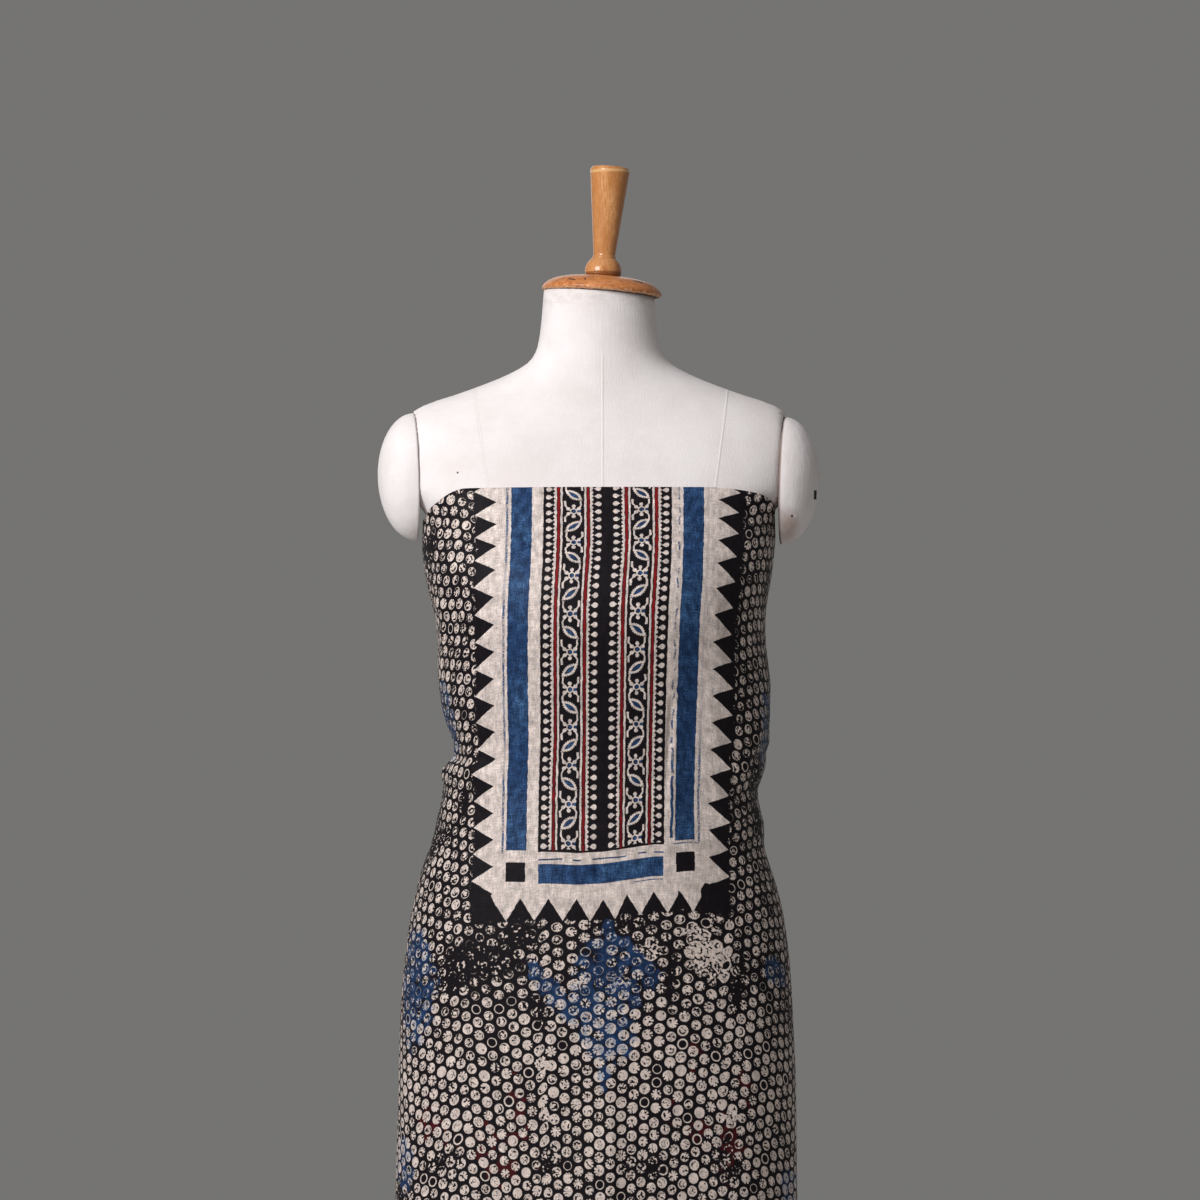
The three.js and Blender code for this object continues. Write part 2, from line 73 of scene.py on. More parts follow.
class SideFold(NamedTuple):
    """How far the cloth stands off the figure's two sides at a height."""

    height: float
    left: float
    right: float


class Fold(NamedTuple):
    """A soft fold: where its middle lies on the cloth, its half sizes, its lean and its height."""

    across: float
    height: float
    width: float
    length: float
    lean: float
    rise: float


class Flute(NamedTuple):
    """A flute below the hips: degrees from the front by the right side, half width and swell."""

    around: float
    width: float
    swell: float


FIGURE = (
    Level(150, 187, 110, 121, 2.25),
    Level(592, 183, 108, 117, 2.3),
    Level(700, 182.5, 109, 119, 2.3),
    Level(760, 180, 111.5, 122, 2.3),
    Level(813, 177, 113.5, 122, 2.3),
    Level(854, 172, 114, 116, 2.3),
    Level(890, 164, 113, 107, 2.3),
    Level(926, 152.5, 111.5, 96, 2.3),
    Level(954, 144, 110, 88, 2.3),
    Level(982, 134, 109.5, 83, 2.3),
    Level(1004, 131.5, 110.5, 82, 2.3),
    Level(1028, 133.5, 114, 83, 2.3),
    Level(1062, 138.8, 121, 86, 2.35),
    Level(1104, 144.8, 132, 90, 2.4),
    Level(1144, 150.7, 140, 95, 2.5),
    Level(1169, 156.4, 138, 97, 2.55),
    Level(1200, 161.8, 127, 99.5, 2.5),
    Level(1223, 164.5, 111, 101, 2.5),
    Level(1240, 163.6, 98.5, 102, 2.5),
    Level(1252, 171, 89.5, 103, 2.5),
    Level(1268, 186, 78, 103, 2.5),
    Level(1290, 194, 69, 102.5, 2.5),
    Level(1310, 197, 62.5, 100, 2.3),
    Level(1325, 193, 59, 96, 2.1),
    Level(1336, 184, 56.5, 90, 1.8),
    Level(1344, 172, 55, 83, 1.65),
    Level(1351, 155, 53.7, 77, 1.6),
    Level(1358, 133, 52.6, 73, 1.58),
    Level(1366, 111, 51.4, 70, 1.6),
    Level(1374, 91, 50.4, 68, 1.7),
    Level(1382, 75, 49.6, 66.5, 1.85),
    Level(1390, 64.5, 49, 66, 2),
    Level(1402, 58.5, 48.6, 65, 2),
    Level(1422, 55, 48.8, 60, 2),
    Level(1452, 52.3, 50, 54.5, 2),
)

SIDE_FOLDS = (
    SideFold(150, 5, 2),
    SideFold(592, 4.4, 0),
    SideFold(700, 3.4, 0),
    SideFold(777, 4.4, 0),
    SideFold(832, 3.4, 0),
    SideFold(878, 4, 0.4),
    SideFold(913, 4.6, 0),
    SideFold(926, 4.2, 0.4),
    SideFold(940, 3.8, 4.1),
    SideFold(954, 5.3, 7.4),
    SideFold(969, 7, 8),
    SideFold(982, 9.4, 10.4),
    SideFold(989, 9.8, 14),
    SideFold(997, 12.5, 19),
    SideFold(1005, 10, 21),
    SideFold(1015, 0.2, 18.4),
    SideFold(1028, 0.6, 21.4),
    SideFold(1046, 4.3, 21.3),
    SideFold(1062, 5.8, 19),
    SideFold(1081, 6, 16.7),
    SideFold(1104, 3.6, 11),
    SideFold(1120, 1.4, 6.9),
    SideFold(1144, 0, 2.7),
    SideFold(1169, 0.4, 0),
    SideFold(1205, 1.2, 0),
    SideFold(1225, 0, 0),
)

TOP_EDGE = (
    (-560, 1262), (-380, 1262), (-300, 1250), (-235, 1236), (-200, 1238), (-165, 1250),
    (-125, 1266), (0, 1267), (100, 1267), (150, 1262), (178, 1252), (205, 1240), (235, 1236),
    (300, 1248), (380, 1262), (560, 1262),
)

SOFT_FOLDS = (
    Fold(68, 1000, 12, 60, 4, 3),
    Fold(-128, 1010, 11, 34, -38, 3.5),
    Fold(-172, 1150, 13, 60, 14, 3),
    Fold(152, 1020, 12, 46, 32, 4),
    Fold(128, 960, 10, 40, -30, 3),
    Fold(2, 640, 22, 120, 0, 4),
)

FLUTES = (
    Flute(2, 27, 22),
    Flute(44, 24, 17),
    Flute(80, 31, 18),
    Flute(120, 26, 24),
    Flute(156, 28, 18),
    Flute(196, 25, 23),
    Flute(233, 29, 19),
    Flute(276, 28, 19),
    Flute(321, 25, 17),
)

DRIFT_ACROSS = (-98, -86, -68, -52, -20, 4, 28, 50, 68, 90, 111)

SIDEWAYS_DRIFT = (
    (0, (1.2, 0.5, 0.4, 0, -0.3, -0.6, -0.2, 0.2, 0.5, 0.6, -0.5)),
    (44, (0.5, 0.5, 0.4, 0, 0, -0.1, 0, 0.2, 0.3, 0.2, 1)),
    (65, (0.8, 0.1, 0.1, 0, 0, 0, 0, 0, -0.1, -0.2, 0)),
    (85, (-0.5, -0.5, -0.5, -0.4, -0.8, -1.2, -1, -0.8, -0.7, -0.6, -0.3)),
    (103, (-2.5, -1.8, -1.6, -1.1, -2, -2.6, -2.2, -1.9, -1.6, -1.2, -1)),
    (132, (-3, -3.5, -3, -2.3, -3.2, -4, -3.7, -3.5, -3.3, -3.2, -2.8)),
    (176, (-3.6, -4.7, -3.9, -2.6, -3.5, -4.3, -4.3, -4.4, -4.4, -4.2, -4)),
    (250, (-4.4, -4.1, -3.6, -2.6, -3.6, -4.5, -5, -5.6, -6.3, -7, -6.3)),
    (294, (-4.6, -5, -4.8, -4.4, -4.5, -4.7, -5.5, -6.2, -7, -7.8, -8)),
    (350, (-3.8, -5.5, -5.2, -5, -4.9, -4.9, -6, -7, -7.7, -8, -7.5)),
    (387, (-3.8, -5.5, -5.2, -5, -4.9, -4.9, -6, -7, -7.7, -8, -7.5)),
    (393, (-3.8, -1.5, 0, 0.9, 2.1, 1.4, -2.5, -2.3, -1.8, -3, -7.5)),
)

DOWNWARD_DRIFT = (
    (0, (0, 0, 0, 0, 0, -1, -2, -3, -4, -4, 0)),
    (31, (-2, -1, 0, 0, 0, -1, -2, -3, -5, -8, -10.5)),
    (78, (-4.2, -2, 0, 0, 0, -1, -2.5, -3.5, -5, -9, -13.5)),
    (127, (-3.6, -2, 0, 0, 0, -1, -2.5, -3.5, -5, -9, -14.5)),
    (228, (-1.8, -1, 0, 0, 0, -1, -2.5, -3.5, -5.5, -9, -13)),
    (300, (0.2, -0.5, 0, 0, 0.5, 0, -2.5, -4.5, -7, -10.5, -10.5)),
    (345, (-0.8, -1.9, 0.3, -0.5, 1.6, 0.4, -3.2, -7, -9, -12.3, -10.5)),
    (387, (-0.8, -1.9, 0.3, -0.5, 1.6, 0.4, -3.2, -7, -9, -12.3, -10.5)),
    (393, (-0.6, -1.7, -1.2, 0.3, 1.5, 2, -3.2, -5.9, -8.6, -10.5, -10.5)),
)

CREASES = (
    Fold(-150, 266, 7, 30, 62, -1.5),
    Fold(-186, 240, 7, 26, -40, 1.8),
    Fold(-176, 284, 8, 30, 70, 1.6),
    Fold(-200, 224, 6, 20, -58, -1.4),
    Fold(150, 262, 6, 26, -60, -1.5),
    Fold(170, 252, 8, 18, 20, 1.8),
    Fold(184, 272, 6, 28, -66, -1.4),
    Fold(160, 290, 7, 34, -50, 1.5),
    Fold(-180, 88, 6, 34, 52, 1.4),
    Fold(-172, 112, 6, 30, 50, -1.2),
    Fold(-190, 60, 6, 26, 46, 1.2),
    Fold(-160, 140, 7, 36, 40, 1.2),
    Fold(77, 206, 2.6, 16, 64, -3),
    Fold(74, 211, 2.6, 14, 64, 2.2),
    Fold(65, 258, 2.6, 40, -4, -3),
    Fold(106, 217, 5, 30, 10, 0.8),
    Fold(118, 260, 5, 26, 24, 0.8),
    Fold(112, 150, 6, 40, 4, 0.8),
    Fold(-2, 372, 2.6, 13, 12, -2.8),
    Fold(16.5, 355, 2.6, 10, -8, 2.8),
    Fold(11, 630, 7, 45, 2, 2.6),
    Fold(-40, 590, 12, 70, 6, 0.9),
    Fold(60, 600, 12, 80, -4, 0.9),
    Fold(-120, 520, 14, 90, 8, 1.2),
    Fold(150, 520, 14, 90, -8, 1.2),
)


class Stain(NamedTuple):
    """A soft patch of dye: its middle on the flat cloth, its half sizes and its lean in degrees."""

    across: float
    depth: float
    width: float
    length: float
    lean: float = 0


INDIGO_STAINS = (
    Stain(10, 466, 34, 34), Stain(0, 497, 40, 24), Stain(8, 524, 26, 30), Stain(-43, 486, 10, 36, 37),
    Stain(40, 472, 20, 14, 30), Stain(5, 562, 6, 16), Stain(9, 430, 6, 16), Stain(-192, 452, 30, 60, 8),
    Stain(-166, 458, 12, 18), Stain(184, 442, 22, 14, 20), Stain(-180, 200, 24, 42, 10),
    Stain(-208, 264, 14, 12), Stain(196, 206, 26, 40),
    Stain(-206, 620, 20, 26), Stain(-300, 470, 30, 44), Stain(330, 480, 40, 40), Stain(-390, 250, 26, 36),
    Stain(420, 230, 30, 34), Stain(0, 860, 34, 46), Stain(-210, 840, 30, 44), Stain(210, 850, 30, 44),
    Stain(-430, 840, 34, 44), Stain(430, 830, 34, 44), Stain(205, 640, 20, 22),
)

BLACK_STAINS = (
    Stain(-112, 450, 60, 19, -10), Stain(-74, 432, 22, 14), Stain(-148, 462, 32, 10, -24),
    Stain(-54, 502, 10, 24, 34), Stain(-148, 630, 28, 11, -10), Stain(40, 646, 30, 9),
    Stain(133, 470, 9, 38, -6), Stain(-46, 640, 12, 16), Stain(24, 424, 34, 6), Stain(132, 70, 11, 100),
    Stain(184, 262, 24, 14), Stain(-134, 300, 7, 16), Stain(-180, 320, 34, 14), Stain(-190, 30, 30, 14),
    Stain(122, 632, 14, 26), Stain(-236, 330, 30, 18), Stain(260, 380, 30, 22), Stain(-320, 640, 40, 12),
    Stain(330, 660, 44, 12), Stain(0, 740, 60, 10), Stain(-150, 760, 50, 10), Stain(170, 770, 50, 12),
    Stain(-196, 300, 20, 34), Stain(66, 478, 7, 26, -8), Stain(-208, 640, 24, 14), Stain(176, 280, 12, 60),
)

MADDER_STAINS = (
    Stain(-162, 590, 14, 28, 30), Stain(-106, 622, 20, 24), Stain(-76, 596, 13, 28), Stain(-88, 648, 24, 13),
    Stain(88, 545, 8, 20), Stain(124, 618, 17, 28), Stain(94, 612, 17, 13), Stain(140, 560, 12, 20),
    Stain(62, 588, 8, 10), Stain(-30, 700, 40, 20), Stain(60, 720, 30, 24), Stain(-168, 700, 26, 30),
)

PALE_STAINS = (
    Stain(104, 449, 27, 19, -6), Stain(92, 428, 14, 8), Stain(112, 395, 7, 26, -14), Stain(126, 590, 7, 12),
    Stain(-52, 552, 6, 8), Stain(-50, 598, 6, 8), Stain(22, 476, 9, 6), Stain(-18, 478, 8, 6),
    Stain(48, 446, 10, 12),
)


class Curve:
    """A smooth curve through pairs of a place and a value, which never swings past them."""

    def __init__(self, places: list[float], values: list[float]) -> None:
        """Works out the curve's slope at each pair.

        Args:
            places: Where each value holds, rising.
            values: The value at each place.
        """
        self.places = np.array(places, float)
        self.values = np.array(values, float)
        slope = np.diff(self.values) / np.diff(self.places)
        before = np.concatenate([slope[:1], slope])
        after = np.concatenate([slope, slope[-1:]])
        steady = before * after > 0
        total = np.where(steady, before + after, 1)
        self.tangents = np.where(steady, 2 * before * after / total, 0)

    def __call__(self, place: np.ndarray | float) -> np.ndarray:
        """Gives the curve's value.

        Args:
            place: One place or an array of them.

        Returns:
            The value at each place, steady beyond both ends.
        """
        i = np.clip(np.searchsorted(self.places, place, side="left") - 1, 0, len(self.places) - 2)
        span = self.places[i + 1] - self.places[i]
        t = np.clip((place - self.places[i]) / span, 0, 1)
        ease = t * t * (3 - 2 * t)
        bend = t * (1 - t) ** 2 * self.tangents[i] - t * t * (1 - t) * self.tangents[i + 1]
        return self.values[i] * (1 - ease) + self.values[i + 1] * ease + span * bend


def curve_of(rows: tuple, column: int) -> Curve:
    """Makes a curve from one column of a table whose first column is the place.

    Args:
        rows: The table.
        column: Which column holds the value.

    Returns:
        The curve through the rows.
    """
    return Curve([row[0] for row in rows], [row[column] for row in rows])


def ease_between(low: np.ndarray | float, high: np.ndarray | float, place: np.ndarray) -> np.ndarray:
    """Rises from 0 to 1 between two edges.

    Args:
        low: Where it starts to rise.
        high: Where it has risen.
        place: Where it is asked for.

    Returns:
        The eased value.
    """
    t = np.clip((place - low) / (high - low), 0, 1)
    return t * t * (3 - 2 * t)


def fold_rise(folds: tuple[Fold, ...], across: np.ndarray, height: np.ndarray) -> np.ndarray:
    """Adds up the soft folds.

    Args:
        folds: The folds.
        across: Places across the cloth.
        height: Heights above the floor.

    Returns:
        How far the cloth rises at each place.
    """
    total = np.zeros(np.broadcast(across, height).shape)
    for fold in folds:
        lean = math.radians(fold.lean)
        aside = (across - fold.across) * math.cos(lean) - (height - fold.height) * math.sin(lean)
        along = (across - fold.across) * math.sin(lean) + (height - fold.height) * math.cos(lean)
        total += fold.rise * np.exp(-((aside / fold.width) ** 2) - (along / fold.length) ** 2)
    return total


def outwards(points: np.ndarray) -> np.ndarray:
    """Finds the level directions out of closed outlines.

    Args:
        points: Outlines of x and y, with the outline's points on the last axis but one.

    Returns:
        A unit direction for each point.
    """
    step = np.roll(points, -1, axis=-2) - np.roll(points, 1, axis=-2)
    out = np.stack([step[..., 1], -step[..., 0]], axis=-1)
    return out / np.linalg.norm(out, axis=-1, keepdims=True)


class Figure:
    """The padded figure as level outlines, from the front round by the right side."""

    def __init__(self) -> None:
        """Draws the figure's curves through its table."""
        self.half = curve_of(FIGURE, 1)
        self.front = curve_of(FIGURE, 2)
        self.back = curve_of(FIGURE, 3)
        self.square = curve_of(FIGURE, 4)

    def outlines(self, heights: np.ndarray, count: int) -> np.ndarray:
        """Gives one outline for each height.

        Args:
            heights: The heights.
            count: How many points go round.

        Returns:
            An array of heights by points by x and y.
        """
        turn = np.arange(count) / count * 2 * math.pi
        power = (2 / self.square(heights))[:, None]
        sideways = np.sign(np.sin(turn)) * np.abs(np.sin(turn)) ** power
        depthways = np.sign(np.cos(turn)) * np.abs(np.cos(turn)) ** power
        depth = np.where(depthways > 0, self.front(heights)[:, None], self.back(heights)[:, None])
        return np.stack([self.half(heights)[:, None] * sideways, -depth * depthways], axis=-1)


@dataclass
class HangingCloth:
    """How the cloth hangs: one rectangular cut, wrapped once and lapped at the back."""

    width: float = 1120
    length: float = 1040
    clearance: float = 3
    half_thickness: float = 1
    grip_height: float = 1222
    grip_reach: float = 26
    grip_closer: float = 1.54
    lap_rise: float = 4.6
    lap_ramp: float = 60
    flute_top: float = 715
    flute_foot: float = 240
    flute_sink: float = 7
    highest: float = 1270
    lowest: float = 184
    spacing: float = 3
    around: int = 576

    def stand_off(self, outline: np.ndarray, heights: np.ndarray, half: np.ndarray) -> np.ndarray:
        """How far the cloth's middle stands off the figure.

        Args:
            outline: The figure's outlines at the heights.
            heights: The heights.
            half: The figure's half width at the heights.

        Returns:
            The distance at each point of each outline.
        """
        height = heights[:, None]
        grip = self.grip_closer * np.exp(-(((height - self.grip_height) / self.grip_reach) ** 2))
        fall = np.clip((self.flute_top - height) / (self.flute_top - self.flute_foot), 0, 1.1) ** 1.4
        left = curve_of(SIDE_FOLDS, 1)(heights)[:, None]
        right = curve_of(SIDE_FOLDS, 2)(heights)[:, None]
        reach = np.abs(outline[..., 0]) / half[:, None]
        side = ease_between(0.5, 1, reach) * np.where(outline[..., 0] < 0, left, right)
        turn = np.arange(self.around) / self.around * 360
        radius = np.hypot(outline[..., 0], outline[..., 1])
        flutes = np.full(radius.shape, -float(self.flute_sink))
        for flute in FLUTES:
            away = np.radians((turn - flute.around + 180) % 360 - 180) * radius
            flutes += flute.swell * np.exp(-((away / flute.width) ** 2))
        return self.half_thickness + self.clearance - grip + side + fall * flutes

    def levels(self, heights: np.ndarray, across: np.ndarray) -> tuple[np.ndarray, np.ndarray]:
        """Lays the cloth round the figure at each height.

        Args:
            heights: The heights.
            across: Places across the cloth, from the middle of its panel.

        Returns:
            The places of the cloth's middle, and the directions out of it, as x and y.
        """
        figure = Figure()
        outline = figure.outlines(heights, self.around)
        lie = outline + outwards(outline) * self.stand_off(outline, heights, figure.half(heights))[..., None]
        out = outwards(lie)
        closed = np.concatenate([lie, lie[:, :1]], axis=1)
        closed_out = np.concatenate([out, out[:, :1]], axis=1)
        steps = np.linalg.norm(np.diff(closed, axis=1), axis=2)
        run = np.concatenate([np.zeros((len(heights), 1)), np.cumsum(steps, axis=1)], axis=1)
        places = np.empty((len(heights), len(across), 2))
        ways = np.empty_like(places)
        for i, height in enumerate(heights):
            wanted = across % run[i, -1]
            for axis in range(2):
                places[i, :, axis] = np.interp(wanted, run[i], closed[i, :, axis])
                ways[i, :, axis] = np.interp(wanted, run[i], closed_out[i, :, axis])
            ways[i] /= np.linalg.norm(ways[i], axis=1, keepdims=True)
            lower_end = run[i, -1] - self.width / 2
            lap = ease_between(lower_end - self.lap_ramp, lower_end - self.lap_ramp / 6, across)
            rise = self.lap_rise * lap + fold_rise(SOFT_FOLDS, across, height)
            places[i] += ways[i] * rise[:, None]
        return places, ways

    def hang(self, across: np.ndarray, depths: np.ndarray) -> tuple[np.ndarray, np.ndarray]:
        """Follows each column of the cloth down from the top edge until its length is used.

        Args:
            across: Places across the cloth.
            depths: Lengths down the cloth from its top edge.

        Returns:
            The places of the cloth's middle, rows by columns by x, y and z, and the directions out.
        """
        heights = np.arange(self.highest, self.lowest, -self.spacing)
        places, ways = self.levels(heights, across)
        top = curve_of(TOP_EDGE, 1)(across)
        hung = np.empty((len(depths), len(across), 3))
        out = np.zeros_like(hung)
        for column in range(len(across)):
            move = np.diff(places[:, column], axis=0)
            inward = (move * ways[:-1, column]).sum(axis=1)
            used = np.concatenate([[0], np.cumsum(np.hypot(self.spacing, inward))])
            start = np.interp(top[column], heights[::-1], used[::-1])
            wanted = start + depths
            for axis in range(2):
                hung[:, column, axis] = np.interp(wanted, used, places[:, column, axis])
                out[:, column, axis] = np.interp(wanted, used, ways[:, column, axis])
            hung[:, column, 2] = np.interp(wanted, used, heights)
        return hung, out / np.linalg.norm(out, axis=2, keepdims=True)


def mesh_piece(name: str, points: np.ndarray, faces: list[tuple[int, ...]]) -> bpy.types.Object:
    """Makes a smooth mesh object from points in millimetres.

    Args:
        name: The piece's name.
        points: Its points, in millimetres.
        faces: Its faces, as indices of points.

    Returns:
        The new object, in metres.
    """
    mesh = bpy.data.meshes.new(name)
    mesh.from_pydata((np.asarray(points) * MM).tolist(), [], faces)
    mesh.validate()
    mesh.shade_smooth()
    piece = bpy.data.objects.new(name, mesh)
    bpy.context.scene.collection.objects.link(piece)
    return piece


def settle(piece: bpy.types.Object, slot: Slot, *nodes: str) -> bpy.types.Object:
    """Fixes a piece to the part's one body and hides the CAD nodes that it replaces.

    Args:
        piece: The piece.
        slot: The record's material slot; not used.
        nodes: The CAD nodes that it replaces.

    Returns:
        The same piece.
    """
    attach(piece, "root")
    if nodes:
        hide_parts(*nodes)
    log.info("%s: %d faces", piece.name, len(piece.data.polygons))
    return piece


def grid_faces(rows: int, columns: int, first: int, closed: bool, turned: bool) -> list[tuple[int, ...]]:
    """Joins a grid of points by four-sided faces.

    Args:
        rows: How many rows of points.
        columns: How many points in a row.
        first: The index of the grid's first point.
        closed: Whether the last column joins the first one.
        turned: Whether the faces look the other way.

    Returns:
        The faces.
    """
    row = np.arange(rows - 1)[:, None] * columns + first
    column = np.arange(columns if closed else columns - 1)[None, :]
    beside = (column + 1) % columns
    a, b, c, d = row + column, row + beside, row + columns + beside, row + columns + column
    order = (a, b, c, d) if turned else (a, d, c, b)
    return np.stack(order, axis=-1).reshape(-1, 4).tolist()


def set_uv(piece: bpy.types.Object, name: str, places: np.ndarray) -> None:
    """Gives a mesh a UV map from one pair of numbers for each point.

    Args:
        piece: The piece.
        name: The map's name.
        places: The pair for each point.
    """
    layer = piece.data.uv_layers.new(name=name)
    corners = np.empty(len(piece.data.loops), np.int32)
    piece.data.loops.foreach_get("vertex_index", corners)
    layer.uv.foreach_set("vector", places[corners].astype(np.float32).ravel())


def spaced(*parts: tuple[float, float]) -> np.ndarray:
    """Lays out places along a line, part by part, each with its own step.

    Args:
        parts: The line's start, with a step of 0, and then the end and the step of each part.

    Returns:
        The places.
    """
    places = [parts[0][0]]
    for end, step in parts[1:]:
        count = round(abs(end - places[-1]) / step)
        places.extend(np.linspace(places[-1], end, count + 1)[1:])
    return np.array(places)


class Value:
    """A number worked out at each point of a surface, so that finishes read as plain sums."""

    def __init__(self, finish: "Finish", socket: bpy.types.NodeSocket) -> None:
        """Keeps the finish that works the number out and the socket that gives it."""
        self.finish = finish
        self.socket = socket

    def __add__(self, other: "Number") -> "Value":
        """Adds."""
        return self.finish.math("ADD", self, other)

    def __sub__(self, other: "Number") -> "Value":
        """Takes away."""
        return self.finish.math("SUBTRACT", self, other)

    def __rsub__(self, other: float) -> "Value":
        """Takes this number away from a plain one."""
        return self.finish.math("SUBTRACT", other, self)

    def __mul__(self, other: "Number") -> "Value":
        """Multiplies."""
        return self.finish.math("MULTIPLY", self, other)

    def __truediv__(self, other: "Number") -> "Value":
        """Divides."""
        return self.finish.math("DIVIDE", self, other)

    def __mod__(self, other: float) -> "Value":
        """Gives the rest of a division, never below zero."""
        return self.finish.math("FLOORED_MODULO", self, other)

    def __abs__(self) -> "Value":
        """Drops the sign."""
        return self.finish.math("ABSOLUTE", self)

    def floor(self) -> "Value":
        """Rounds down."""
        return self.finish.math("FLOOR", self)

    def sine(self) -> "Value":
        """Gives the sine."""
        return self.finish.math("SINE", self)

    def times_plus(self, factor: "Number", plus: "Number", clamp: bool = False) -> "Value":
        """Multiplies and adds in one step, kept between 0 and 1 if asked."""
        return self.finish.math("MULTIPLY_ADD", self, factor, plus, clamp=clamp)

    def least(self, other: "Number") -> "Value":
        """Gives the smaller of two numbers."""
        return self.finish.math("MINIMUM", self, other)

    def most(self, other: "Number") -> "Value":
        """Gives the larger of two numbers."""
        return self.finish.math("MAXIMUM", self, other)

    def below(self, limit: "Number", soft: float = 0.3) -> "Value":
        """Marks where the number is below a limit.

        Args:
            limit: The limit.
            soft: How wide the mark's soft edge is.

        Returns:
            1 below the limit and 0 above it.
        """
        if isinstance(limit, Value):
            return (limit - self).times_plus(1 / soft, 0.5, clamp=True)
        return self.times_plus(-1 / soft, 0.5 + limit / soft, clamp=True)

    def above(self, limit: "Number", soft: float = 0.3) -> "Value":
        """Marks where the number is above a limit.

        Args:
            limit: The limit.
            soft: How wide the mark's soft edge is.

        Returns:
            1 above the limit and 0 below it.
        """
        if isinstance(limit, Value):
            return (self - limit).times_plus(1 / soft, 0.5, clamp=True)
        return self.times_plus(1 / soft, 0.5 - limit / soft, clamp=True)

    def between(self, low: float, high: float, soft: float = 0.3) -> "Value":
        """Marks where the number lies between two limits."""
        return abs(self - (low + high) / 2).below((high - low) / 2, soft)

    def blend(self, other: "Number", share: "Number") -> "Value":
        """Moves from this number to another one.

        Args:
            other: The other number.
            share: How far to move, 0 to 1.

        Returns:
            The number between the two.
        """
        node = self.finish.node("ShaderNodeMix")
        self.finish.join(node.inputs[0], share)
        self.finish.join(node.inputs[2], self)
        self.finish.join(node.inputs[3], other)
        return Value(self.finish, node.outputs[0])


Number = Value | float
Colour = tuple[float, float, float] | bpy.types.NodeSocket


def seen(red: int, green: int, blue: int) -> tuple[float, float, float]:
    """Turns a colour as seen on a screen, 0 to 255, into the amounts that a shader mixes."""
    shares = [level / 255 for level in (red, green, blue)]
    return tuple(((s + 0.055) / 1.055) ** 2.4 if s > 0.04 else s / 12.92 for s in shares)


